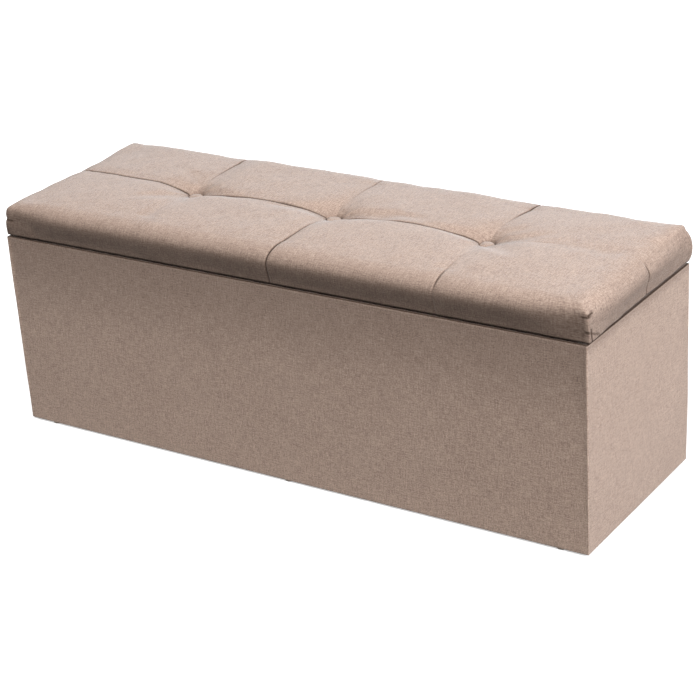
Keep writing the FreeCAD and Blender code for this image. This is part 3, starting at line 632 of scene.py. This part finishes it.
def cloth_moves(points):
    """The settled cloth's moves at each of these points."""
    xs, ys = top_lines((11 * MM, 11 * MM), [(18 * MM, 6 * MM)], [(20 * MM, 5 * MM)] * 2)
    form, quads, _, ring = cover_form(xs, ys, 8 * MM, False)
    held = from_button(form[:, 0], form[:, 1]) < BUTTON_RADIUS
    held[ring[-1]] = True
    return carry_over(settle_cloth(form, quads, held), form, points)


def make_foam():
    """The foam under the cover, a little inside it, closed over the lid board."""
    xs, ys = top_lines((12 * MM, 12 * MM), [(16 * MM, 4 * MM)])
    points, faces, _, ring = cover_form(xs, ys, 7 * MM, False)
    points = points - vertex_normals(points, faces) * FOAM_INSET
    bottom = LID_BOARD_TOP + 0.5 * MM
    points[:, 2] = np.maximum(points[:, 2], bottom)
    under = from_button(points[:, 0], points[:, 1]) < 1.4 * BUTTON_RADIUS
    points[under, 2] = np.minimum(points[under, 2], TUFT_FLOOR - 4 * MM)
    border = ring[-1][:-1]
    fan = [(len(points), b, a) for a, b in zip(border, np.roll(border, -1))]
    points = np.concatenate([points, [[0, 0, bottom]]])
    foam = mesh_piece("seat_foam_pad", points, [*faces.tolist(), *fan])
    foam.data.materials.append(foam_material())
    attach(foam, "lid")
    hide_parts("seat_foam")


# ---- covered buttons ----
BUTTON_LIFT = 2.4  # the cloth's fullness raises it this much, in millimetres
BUTTON_OUTLINE = [(0.4, 0), (5, -0.3), (9, -1.2), (11.4, -2.6), (12.5, -4.6), (11.8, -6.6), (8, -8.2)]
BUTTON_STEPS = 72


def make_buttons():
    """A domed button under gathered cloth: its edge is drawn in by small folds."""
    rows = curve_through(BUTTON_OUTLINE, 0.8)
    angles = np.arange(BUTTON_STEPS) * 2 * math.pi / BUTTON_STEPS
    index = closed(np.arange(len(rows) * BUTTON_STEPS).reshape(len(rows), BUTTON_STEPS))
    hub = index[0, :-1]
    # painted shade: dark where the button's edge tucks under, darkening towards its rim
    shade = np.where(rows[:, 1] < -4.5, 0.9, smooth((rows[:, 0] - 10.2) / 2.2) * 0.6)
    for name, at, seed in zip(("left", "middle", "right"), BUTTONS, (0.4, 1.9, 3.1)):
        rings = []
        for radius, drop in rows:
            edge = smooth((radius - 7) / 5)
            fold = 0.28 * edge * np.sin(17 * angles + seed) + 0.15 * edge * np.sin(29 * angles + 2 * seed)
            sag = 0.25 * np.sin(2 * angles + seed) * smooth(radius / 10)
            r = (radius + fold) * MM
            z = BUTTON_TOP + (BUTTON_LIFT + drop + sag) * MM
            rings.append(np.stack([at.x + r * np.cos(angles), at.y + r * np.sin(angles), z], axis=-1))
        points = np.concatenate(rings)
        uvs = grid_uvs(*(points[index][..., k] for k in (0, 1))).reshape(-1, 2)
        uvs = np.concatenate([uvs, points[hub, :2]])
        faces = [*grid_faces(index).tolist(), hub.tolist()]
        button = mesh_piece(f"button_{name}_cloth", points, faces, uvs, np.repeat(shade, BUTTON_STEPS))
        add_thickness(button, 0.6 * MM)
        button.data.materials.append(linen(f"button_linen_{name}"))
        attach(button, "lid")
        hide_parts(f"button_{name}")


# ---- cloth shells round the box ----
CORNERS = [(1, -1, -90), (1, 1, 0), (-1, 1, 90), (-1, -1, 180)]  # (x, y) signs and the angle each starts at
CORNER_STEPS = 4


def ring_places(half_x, half_y, pitch):
    """Places round a box, anticlockwise: (corner, angle, 0), or (corner, None, share of the way on)."""
    places = []
    for n, (_, _, start) in enumerate(CORNERS):
        places += [(n, start + 90 * step / CORNER_STEPS, 0.0) for step in range(CORNER_STEPS + 1)]
        length = 2 * (half_y if n % 2 == 0 else half_x)
        zones = [(0, 12 * MM, 2.5 * MM), (length, 12 * MM, 2.5 * MM)]
        places += [(n, None, d / length) for d in graded_lines(0, length, pitch, zones)[1:-1]]
    return places


def ring_at(places, half_x, half_y, radius):
    """Where the places lie on one rounded rectangle, and which way is outwards there."""
    points, outward = [], []
    for n, angle, along in places:
        if angle is None:
            ends = [corner_point(m % 4, CORNERS[n][2] + 90, half_x, half_y, radius)[0] for m in (n, n + 1)]
            way = corner_point(n, CORNERS[n][2] + 90, half_x, half_y, radius)[1]
            points.append(ends[0] + (ends[1] - ends[0]) * along)
        else:
            point, way = corner_point(n, angle, half_x, half_y, radius)
            points.append(point)
        outward.append(way)
    return np.array(points), np.array(outward)


def corner_point(n, angle, half_x, half_y, radius):
    sign_x, sign_y, _ = CORNERS[n]
    way = np.array([math.cos(math.radians(angle)), math.sin(math.radians(angle))])
    return np.array([sign_x * (half_x - radius), sign_y * (half_y - radius)]) + radius * way, way


def arc(centre, radius, start, end, steps):
    """(out, height) points on an arc, angles in degrees from outwards towards up."""
    angles = np.radians(np.linspace(start, end, steps + 1))
    return [(centre[0] + radius * math.cos(a), centre[1] + radius * math.sin(a)) for a in angles]


def shell_piece(name, half_x, half_y, radius, profile, pitch, wave):
    """A cloth sleeve: the profile (out, height) carried round the box, moved in and out by wave(points)."""
    places = ring_places(half_x, half_y, pitch)
    rows, ways = [], []
    for out, height in profile:
        spot = max(min(radius + out, radius), 0.2 * MM)
        ring, outward = ring_at(places, half_x + out, half_y + out, min(spot, half_y + out))
        rows.append(np.concatenate([ring, np.full((len(ring), 1), height)], axis=1))
        ways.append(np.concatenate([outward, np.zeros((len(ring), 1))], axis=1))
    points = np.array(rows)
    count, around = points.shape[:2]
    index = closed(np.arange(count * around).reshape(count, around))
    outline = ring_at(places, half_x, half_y, radius)[0]
    u, v = np.meshgrid(running_length(np.vstack([outline, outline[:1]])), -running_length(np.array(profile)))
    points = points.reshape(-1, 3)
    sideways = np.array(ways).reshape(-1, 3)
    shift, shades = wave(points)
    points = points + sideways * shift[:, None]
    return mesh_piece(name, points, grid_faces(index), grid_uvs(u, v), shades)


END_FULLNESS = 1.5 * MM  # how far the ends' cloth stands out from the boards
LEFT_FULLNESS = 1.2 * MM  # and this much more on the left end near the rim
FRONT_PAINTED_SHADING = {  # painted light at the foot of the front and back, and painted shade under the lid
    "z": [BASE_Z, BASE_Z + 0.17, RIM_Z - 0.05, RIM_Z],
    "tone": [-0.38, -0.12, 0.26, 0.36],
}


def make_body_cover():
    """The sleeve over the box: up inside the rim, over it, down the outside and under the bottom edge."""
    rim = 1.8 * MM
    foot = 1.6 * MM
    inside = -17 * MM
    rows = [(inside, z) for z in np.linspace(RIM_Z - 25 * MM, RIM_Z - 3 * MM, 5)]
    rows += arc((inside + 2 * MM, RIM_Z - 2 * MM), 2 * MM, 180, 90, 3)
    rows += [(out, RIM_Z) for out in np.linspace(inside + 5 * MM, -rim - 2 * MM, 4)]
    rows += arc((-rim, RIM_Z - rim), rim, 90, 0, 5)
    zones = [(z, 6 * MM, 2.5 * MM) for z in (RIM_Z - rim, BASE_Z)]
    face = graded_lines(BASE_Z + foot, RIM_Z - rim, 13 * MM, zones)
    rows += [(0, z) for z in face[::-1][1:-1]]
    rows += arc((-foot, BASE_Z + foot), foot, 0, -90, 4)
    rows += [(out, BASE_Z) for out in np.linspace(-foot - 3 * MM, -15 * MM, 3)]

    def wave(points):
        x, y, z = points.T
        outer = on_outside(x, y)
        inner = ramp(np.minimum(z - BASE_Z, RIM_Z - z), 0, 30)
        slack = fbm(points, 0.16, 3, seed=12) * 0.55 * MM
        slack = slack + fbm(points * [1, 1, 0.35], 0.05, 2, seed=5) * 0.12 * MM
        # a seam on the back 10 mm in from each end: its groove and its painted shade
        seam = hill((np.abs(x) - HALF_LENGTH + 10 * MM) / (1.0 * MM)) * (y > HALF_DEPTH - 4 * MM) * outer
        # painted highlight along the rim's top edge, stronger towards the right
        wear_and_highlight = hill((RIM_Z - 2 * MM - z) / (1.6 * MM)) * outer * (0.1 + 0.4 * smooth((x + 0.1) / 0.4))
        # painted shade on the rim's top edge in the gap under the lid
        gap = ramp(z - RIM_Z, -1.7, 0.9) * outer * GAP_PAINTED_SHADE
        at_end = on_end(x, 3)
        full = END_FULLNESS + LEFT_FULLNESS * (x < 0) * smooth((z - RIM_Z) / 0.2 + 1)
        full = full * at_end * smooth((z - BASE_Z) / 0.12)
        lift = outer * (slack * (0.25 + 0.75 * inner) + 0.1 * MM + full) - 0.8 * MM * seam
        # painted light and shade on the front and back; painted shadow on the ends under the lid
        front_painted_shading = np.interp(z, FRONT_PAINTED_SHADING["z"], FRONT_PAINTED_SHADING["tone"])
        shadow = 0.4 * hill((RIM_Z - z) / (11 * MM))
        tone = front_painted_shading * (1 - at_end) + shadow * at_end
        # the seam's and the gap's painted shade over the faces' painted light and shade and the rim's painted
        # highlight
        dark = np.maximum(seam * 0.7, gap)
        return lift, dark + (1 - dark) * (tone - 0.4 * wear_and_highlight)

    cover = shell_piece("body_cover_cloth", HALF_LENGTH, HALF_DEPTH, 1.1 * MM, rows, 13 * MM, wave)
    add_thickness(cover, 0.7 * MM)
    cover.data.materials.append(linen("body_linen"))
    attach(cover, "box")
    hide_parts("body_cover")


def make_lining():
    """The felt inside: walls, a soft fold at their foot, and the floor."""
    half_x, half_y = LINING_HIGH.x, LINING_HIGH.y
    thick = 0.8 * MM
    floor = LINING_LOW.z + thick
    top = LINING_HIGH.z
    fold = 5 * MM
    inside = -1.0 * MM
    heights = graded_lines(floor + fold, top, 14 * MM, [(top, 5 * MM, 2.5 * MM)])[::-1]
    rows = [(inside, z) for z in heights]
    rows += arc((inside - fold, floor + fold), fold, 0, -90, 4)[1:]
    to_middle = half_y + inside - fold
    rows += [(inside - fold - d, floor) for d in np.linspace(0, to_middle, 14)[1:]]

    def wave(points):
        z = points[:, 2]
        slack = fbm(points, 0.12, 3, seed=21) * 0.35 * MM
        upright = ramp(z - floor - fold, 0, 20) * ramp(top - z, 0, 25)
        return slack * upright, np.zeros(len(points))

    lining = shell_piece("lining_cloth", half_x, half_y, 3 * MM, rows, 16 * MM, wave)
    join_middle(lining)
    add_thickness(lining, thick)
    lining.data.materials.append(felt("lining_felt", (0.105, 0.096, 0.088)))
    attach(lining, "box")
    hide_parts("interior_lining")


def join_middle(piece):
    """Joins the floor's four sides where they meet, and turns the cloth's face inwards."""
    work = bmesh.new()
    work.from_mesh(piece.data)
    bmesh.ops.remove_doubles(work, verts=work.verts, dist=0.3 * MM)
    bmesh.ops.reverse_faces(work, faces=work.faces)
    work.to_mesh(piece.data)
    work.free()


# ---- materials ----
class Nodes:
    """A small helper to wire a material's nodes."""

    def __init__(self, name):
        self.material = bpy.data.materials.new(name)
        self.material.use_nodes = True
        self.tree = self.material.node_tree
        self.shader = self.tree.nodes["Principled BSDF"]

    def add(self, kind, values=None, **settings):
        node = self.tree.nodes.new(kind)
        for key, value in settings.items():
            setattr(node, key, value)
        for key, value in (values or {}).items():
            self.feed(node.inputs[key], value)
        return node

    def feed(self, socket, value):
        """Links a node's output to the socket, or sets its constant. A colour is (red, green, blue)."""
        if isinstance(value, bpy.types.NodeSocket):
            self.tree.links.new(value, socket)
        else:
            socket.default_value = (*value, 1.0) if socket.type == "RGBA" else value

    def place(self):
        return self.add("ShaderNodeTexCoord").outputs["Object"]

    def noise(self, vector, scale, detail=2.0, roughness=0.5):
        """Noise, with features about 1 / scale across. Three scales stretch it along the axes."""
        if isinstance(scale, tuple):
            vector = self.add("ShaderNodeMapping", {"Vector": vector, "Scale": scale}).outputs["Vector"]
            scale = 1.0
        inputs = {"Vector": vector, "Scale": scale, "Detail": detail, "Roughness": roughness}
        return self.add("ShaderNodeTexNoise", inputs).outputs["Fac"]

    def math(self, operation, a, b=0.0):
        return self.add("ShaderNodeMath", {0: a, 1: b}, operation=operation).outputs[0]

    def span(self, value, low, high, to_low=0.0, to_high=1.0):
        inputs = {"Value": value, "From Min": low, "From Max": high, "To Min": to_low, "To Max": to_high}
        return self.add("ShaderNodeMapRange", inputs).outputs["Result"]

    def two_scales(self, fine, dark, light, broad, share, third):
        """Dark to light by the fine pattern, turned a little towards a third colour by the broad one."""
        colour = self.blend(self.span(fine, 0.3, 0.7), dark, light)
        return self.blend(self.span(broad, 0.3, 0.7, 0.0, share), colour, third)

    def blend(self, factor, a, b, mode="MIX"):
        node = self.add("ShaderNodeMix", data_type="RGBA", blend_type=mode)
        for number, value in ((0, factor), (6, a), (7, b)):
            self.feed(node.inputs[number], value)
        return node.outputs[2]

    def set(self, **values):
        for key, value in values.items():
            self.feed(self.shader.inputs[key.replace("_", " ")], value)

    def bump(self, height, distance):
        node = self.add("ShaderNodeBump", {"Height": height, "Distance": distance, "Strength": 1.0})
        self.tree.links.new(node.outputs["Normal"], self.shader.inputs["Normal"])


def scaled(colour, factor):
    return tuple(factor * c for c in colour)


LINEN_DARK = (0.145, 0.098, 0.086)
LINEN_MID = (0.435, 0.322, 0.262)
LINEN_LIGHT = (0.700, 0.565, 0.475)
# the colour that painted shade darkens the cloth towards
PAINTED_SHADE_DARK = (0.040, 0.024, 0.017)


def linen(name):
    """A woven melange cloth: crossing threads with slubs, light and dark yarns, and soft wear, with each
    piece's painted shade and painted light.
    """
    n = Nodes(name)
    cloth = n.add("ShaderNodeUVMap", uv_map="Weave").outputs["UV"]

    def threads(length, width):
        """Streaks along both directions of the weave, added up."""
        long, across = 1 / length, 1 / width
        weft = n.noise(cloth, (long, across, 1), 2.0, 0.55)
        warp = n.noise(cloth, (across, long, 1), 2.0, 0.55)
        return n.math("MULTIPLY", n.math("ADD", weft, warp), 0.5)

    yarn = threads(0.010, 0.0009)
    slub = threads(0.022, 0.0022)
    fleck = n.noise(cloth, (400, 540, 1), 2.0, 0.6)
    mixed = n.math("ADD", n.math("MULTIPLY", yarn, 0.36), n.math("MULTIPLY", slub, 0.30))
    mixed = n.math("ADD", mixed, n.math("MULTIPLY", fleck, 0.34))
    tone = n.span(mixed, 0.405, 0.595)
    colour = n.blend(n.span(tone, 0.0, 0.5), LINEN_DARK, LINEN_MID)
    colour = n.blend(n.span(tone, 0.5, 1.0), colour, LINEN_LIGHT)
    colour = n.blend(0.38, colour, LINEN_MID)
    patches = n.noise(cloth, (9, 9, 1), 4.0, 0.65)
    colour = n.blend(n.span(patches, 0.3, 0.7, 0.0, 0.09), colour, LINEN_LIGHT)
    wear_and_highlight = n.noise(cloth, (28, 22, 1), 3.0, 0.6)
    colour = n.blend(n.span(wear_and_highlight, 0.45, 0.75, 0.0, 0.08), colour, LINEN_DARK)
    # painted shade above 0 darkens towards that colour and takes away the sheen; painted light below 0
    # lightens it up to 1.43 times
    shade = n.add("ShaderNodeAttribute", attribute_name="shade").outputs["Fac"]
    colour = n.blend(n.span(shade, 0.0, 1.0, 0.0, 0.96), colour, PAINTED_SHADE_DARK)
    colour = n.blend(1.0, colour, n.span(shade, 0.0, -1.0, 1.0, 1.43), "MULTIPLY")
    n.set(Base_Color=colour, Roughness=n.span(tone, 0, 1, 0.95, 0.82))
    n.set(Sheen_Weight=n.span(shade, 0.1, 0.9, 0.46, 0.0), Sheen_Roughness=0.38)
    n.set(Sheen_Tint=(0.86, 0.93, 1.0), Specular_IOR_Level=0.12)
    rounded = n.math("ADD", thread_wave(n, cloth, 0), thread_wave(n, cloth, 1))
    height = n.math("ADD", n.math("MULTIPLY", mixed, 1.8), n.math("MULTIPLY", rounded, 0.16))
    n.bump(height, 0.3 * MM)
    return n.material


def thread_wave(n, cloth, axis):
    """A rounded thread every 0.9 mm across one direction of the cloth."""
    parts = n.add("ShaderNodeSeparateXYZ", {"Vector": cloth})
    turns = n.math("MULTIPLY", parts.outputs[axis], 2 * math.pi / (0.9 * MM))
    return n.math("SINE", turns)


def felt(name, colour):
    """Pressed fibres: a fine even nap with slightly lighter and darker places."""
    n = Nodes(name)
    place = n.place()
    fibres = n.noise(place, 900, 3.0, 0.6)
    patches = n.noise(place, 14, 2.0)
    light = scaled(colour, 1.45)
    mixed = n.two_scales(fibres, scaled(colour, 0.62), light, patches, 0.25, light)
    n.set(Base_Color=mixed, Roughness=0.95, Sheen_Weight=0.1, Specular_IOR_Level=0.15)
    n.bump(fibres, 0.12 * MM)
    return n.material


def foam_material():
    n = Nodes("foam")
    place = n.place()
    cells = n.add("ShaderNodeTexVoronoi", {"Vector": place, "Scale": 700.0}).outputs["Distance"]
    colour = n.blend(n.span(cells, 0.0, 0.6), (0.50, 0.43, 0.22), (0.72, 0.66, 0.42))
    n.set(Base_Color=colour, Roughness=0.9, Specular_IOR_Level=0.2)
    n.bump(cells, 0.3 * MM)
    return n.material


def fibreboard():
    n = Nodes("fibreboard")
    place = n.place()
    fibres = n.noise(place, 600, 4.0, 0.65)
    clouds = n.noise(place, 12, 3.0)
    colour = n.two_scales(fibres, (0.30, 0.19, 0.10), (0.50, 0.35, 0.21), clouds, 0.3, (0.40, 0.27, 0.16))
    n.set(Base_Color=colour, Roughness=0.75, Specular_IOR_Level=0.3)
    n.bump(fibres, 0.06 * MM)
    return n.material


def pine():
    """Planed softwood. Its grain lies in level layers, so it runs along the battens in X and in Y alike."""
    n = Nodes("pine")
    place = n.place()
    grain = n.noise(place, (6, 6, 260), 4.0, 0.6)
    fine = n.noise(place, (40, 40, 1400), 2.0)
    colour = n.two_scales(grain, (0.46, 0.29, 0.14), (0.68, 0.49, 0.28), fine, 0.3, (0.36, 0.21, 0.10))
    n.set(Base_Color=colour, Roughness=0.6, Specular_IOR_Level=0.35)
    n.bump(grain, 0.08 * MM)
    return n.material


def metal(name, colour, roughness, brushed=(1, 1, 1), flecks=0.0):
    """Plated steel: fine rolling marks and slightly duller places, stronger with flecks."""
    n = Nodes(name)
    place = n.place()
    marks = n.noise(place, tuple(900 * b for b in brushed), 2.0)
    dull = n.noise(place, 60, 3.0)
    deep = scaled(colour, 0.72)
    shade = n.blend(n.span(dull, 0.35, 0.7, 0.0, 0.4 + flecks), colour, deep)
    n.set(Base_Color=shade, Metallic=1.0)
    n.set(Roughness=n.span(marks, 0.3, 0.7, roughness - 0.08, roughness + 0.1))
    n.bump(marks, 0.02 * MM)
    return n.material


def enamel():
    n = Nodes("strut_enamel")
    place = n.place()
    peel = n.noise(place, 260, 2.0)
    dust = n.noise(place, 30, 3.0)
    colour = n.blend(n.span(dust, 0.4, 0.75, 0.0, 0.2), (0.012, 0.012, 0.013), (0.05, 0.048, 0.045))
    n.set(Base_Color=colour, Roughness=n.span(peel, 0.3, 0.7, 0.26, 0.36), Coat_Weight=0.3)
    n.bump(peel, 0.02 * MM)
    return n.material


def moulded(name, colour, roughness):
    """Moulded plastic or rubber, with a fine spark-eroded texture."""
    n = Nodes(name)
    place = n.place()
    grain = n.noise(place, 1500, 2.0)
    scuffs = n.noise(place, 120, 3.0)
    light = tuple(1.5 * c + 0.01 for c in colour)
    mixed = n.blend(n.span(scuffs, 0.45, 0.75, 0.0, 0.5), colour, light)
    n.set(Base_Color=mixed, Roughness=n.span(grain, 0.3, 0.7, roughness - 0.06, roughness + 0.06))
    n.bump(grain, 0.03 * MM)
    return n.material


def twine_material():
    n = Nodes("waxed_twine")
    place = n.place()
    strands = n.noise(place, (900, 900, 300), 2.0)
    colour = n.blend(n.span(strands, 0.3, 0.7), (0.30, 0.25, 0.18), (0.55, 0.48, 0.38))
    n.set(Base_Color=colour, Roughness=0.6)
    n.bump(strands, 0.1 * MM)
    return n.material


def give_node_materials():
    """The frame's own pieces get their finish by the record's material slot."""
    finishes = {
        "board": fibreboard(),
        "batten": pine(),
        "zinc_steel": metal("zinc_steel", (0.62, 0.62, 0.60), 0.38, (1, 1, 1), 0.3),
        "hinge_steel": metal("hinge_steel", (0.55, 0.53, 0.48), 0.30, (0.05, 1, 1)),
        "bracket_steel": metal("bracket_steel", (0.58, 0.58, 0.57), 0.36, (1, 1, 0.1), 0.2),
        "strut_rod": metal("strut_chrome", (0.72, 0.72, 0.73), 0.12),
        "strut_tube": enamel(),
        "strut_socket": moulded("socket_nylon", (0.02, 0.02, 0.02), 0.45),
        "glide": moulded("glide_plastic", (0.48, 0.44, 0.40), 0.5),
        "buffer": moulded("buffer_rubber", (0.42, 0.42, 0.40), 0.7),
        "twine": twine_material(),
        "dust_cloth": felt("dust_cloth", (0.012, 0.012, 0.013)),
        "upholstery": linen("linen_plain"),
        "lining": felt("felt_plain", (0.105, 0.096, 0.088)),
        "foam": foam_material(),
    }
    for part in frame["record"]["subparts"]:
        node = frame["nodes"][part["node"]]
        for place in node.material_slots:
            place.material = finishes[part["material_slot"]]


# ---- dust covers ----
def make_dust_cover(name, node, body, sag, staple_pitch):
    """A thin cloth stapled round its edge, hanging slightly between the staples and in the middle."""
    low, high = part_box(node)
    xs = graded_lines(low.x, high.x, 14 * MM)
    ys = graded_lines(low.y, high.y, 12 * MM)
    x, y = np.meshgrid(xs, ys, indexing="ij")
    from_edge = np.minimum(high.x - np.abs(x), high.y - np.abs(y))
    middle = ramp(from_edge, 14, 100)
    flat = np.stack([x, y, 0 * x], axis=-1).reshape(-1, 3)
    drape = fbm(flat, 0.15, 3, seed=len(name)).reshape(x.shape)
    puckers = np.sin(2 * math.pi * (x + y) / staple_pitch) * hill((from_edge - 25 * MM) / (16 * MM))
    down = sag * middle * (0.75 + 0.5 * drape)
    down = down + 0.12 * sag * puckers * ramp(from_edge, 8, 8)
    points = np.stack([x, y, low.z + 0.02 * MM - np.maximum(down, 0)], axis=-1).reshape(-1, 3)
    index = np.arange(points.shape[0]).reshape(x.shape)
    cloth = mesh_piece(name, points, grid_faces(index)[:, ::-1], grid_uvs(x, y)[:, ::-1])
    add_thickness(cloth, 0.4 * MM)
    cloth.data.materials.append(felt(f"{name}_felt", (0.012, 0.012, 0.013)))
    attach(cloth, body)
    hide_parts(node)


# ---- floor, light and camera ----
FLOOR_REACH = 30.0


def make_stage():
    """A pale paper floor with a glow of its own, so that it is nearly white."""
    corners = [(x * FLOOR_REACH, y * FLOOR_REACH, 0) for x, y in ((-1, -1), (1, -1), (1, 1), (-1, 1))]
    floor = mesh_piece("floor", corners, [(0, 1, 2, 3)])
    n = Nodes("floor_paper")
    tone = n.noise(n.place(), 0.6, 2.0)
    n.set(Base_Color=n.blend(n.span(tone, 0.3, 0.7), (0.86, 0.86, 0.86), (0.89, 0.89, 0.89)))
    n.set(Roughness=0.9, Specular_IOR_Level=0.1)
    n.set(Emission_Color=(1.0, 1.0, 1.0), Emission_Strength=0.5)
    floor.data.materials.append(n.material)
    floor.visible_diffuse = False


def area_light(name, at, towards, size, power, colour):
    light = bpy.data.lights.new(name, "AREA")
    light.shape = "RECTANGLE"
    light.size, light.size_y = size
    light.energy = power
    light.color = colour
    holder = bpy.data.objects.new(name, light)
    holder.location = at
    holder.rotation_euler = (Vector(towards) - Vector(at)).to_track_quat("-Z", "Y").to_euler()
    bpy.context.scene.collection.objects.link(holder)


SKY = 0.27
GROUND = 0.05
SKY_COLOUR = (1.0, 0.91, 0.85, 1.0)


def make_lights():
    """A soft dome from above, broad lights from the right and the front, and a low one for the far sides."""
    world = bpy.data.worlds.new("studio")
    world.use_nodes = True
    tree = world.node_tree
    way = tree.nodes.new("ShaderNodeTexCoord")
    parts = tree.nodes.new("ShaderNodeSeparateXYZ")
    ramp = tree.nodes.new("ShaderNodeMapRange")
    tree.links.new(way.outputs["Generated"], parts.inputs[0])
    tree.links.new(parts.outputs["Z"], ramp.inputs["Value"])
    for key, value in {"From Min": -0.05, "From Max": 0.5, "To Min": GROUND, "To Max": SKY}.items():
        ramp.inputs[key].default_value = value
    tree.nodes["Background"].inputs["Color"].default_value = SKY_COLOUR
    tree.links.new(ramp.outputs["Result"], tree.nodes["Background"].inputs["Strength"])
    bpy.context.scene.world = world
    area_light("right_light", (5.8, -0.1, 2.9), (0, 0, 0.3), (2.6, 2.6), 480, (0.99, 0.99, 1.0))
    area_light("front_light", (0.4, -3.1, 3.9), (0, 0, 0.3), (2.6, 1.8), 172, (1.0, 0.98, 0.96))
    area_light("back_light", (-3.0, 3.4, 1.0), (0, 0, 0.2), (2.5, 1.2), 55, (1.0, 1.0, 1.0))


CAMERA_AT = (1.7072, -2.4836, 1.4814)
CAMERA_AZIMUTH = math.radians(34.167)
CAMERA_ELEVATION = math.radians(23.599)
CAMERA_ROLL = math.radians(-3.620)
LENS = 100.81  # millimetres, on a sensor 36 wide


def make_camera():
    camera = bpy.data.cameras.new("camera")
    camera.lens = LENS
    camera.sensor_width = 36
    camera.clip_end = 100
    az, el, roll = CAMERA_AZIMUTH, CAMERA_ELEVATION, CAMERA_ROLL
    back = Vector((math.sin(az) * math.cos(el), -math.cos(az) * math.cos(el), math.sin(el)))
    level_right = Vector((0, 0, 1)).cross(back).normalized()
    level_up = back.cross(level_right)
    right = math.cos(roll) * level_right + math.sin(roll) * level_up
    up = math.cos(roll) * level_up - math.sin(roll) * level_right
    turn = Matrix((right, up, back)).transposed().to_4x4()
    holder = bpy.data.objects.new("camera", camera)
    holder.matrix_world = Matrix.Translation(CAMERA_AT) @ turn
    bpy.context.scene.collection.objects.link(holder)
    bpy.context.scene.camera = holder
    bpy.context.scene.view_settings.view_transform = "Standard"


make_camera()
make_lights()
make_stage()
give_node_materials()
make_body_cover()
make_lining()
make_dust_cover("base_dust_cloth", "base_dust_cover", "box", 1.2 * MM, 60 * MM)
make_dust_cover("lid_dust_cloth", "lid_dust_cover", "lid", 2.5 * MM, 42 * MM)
make_seat_cover()
make_foam()
make_buttons()
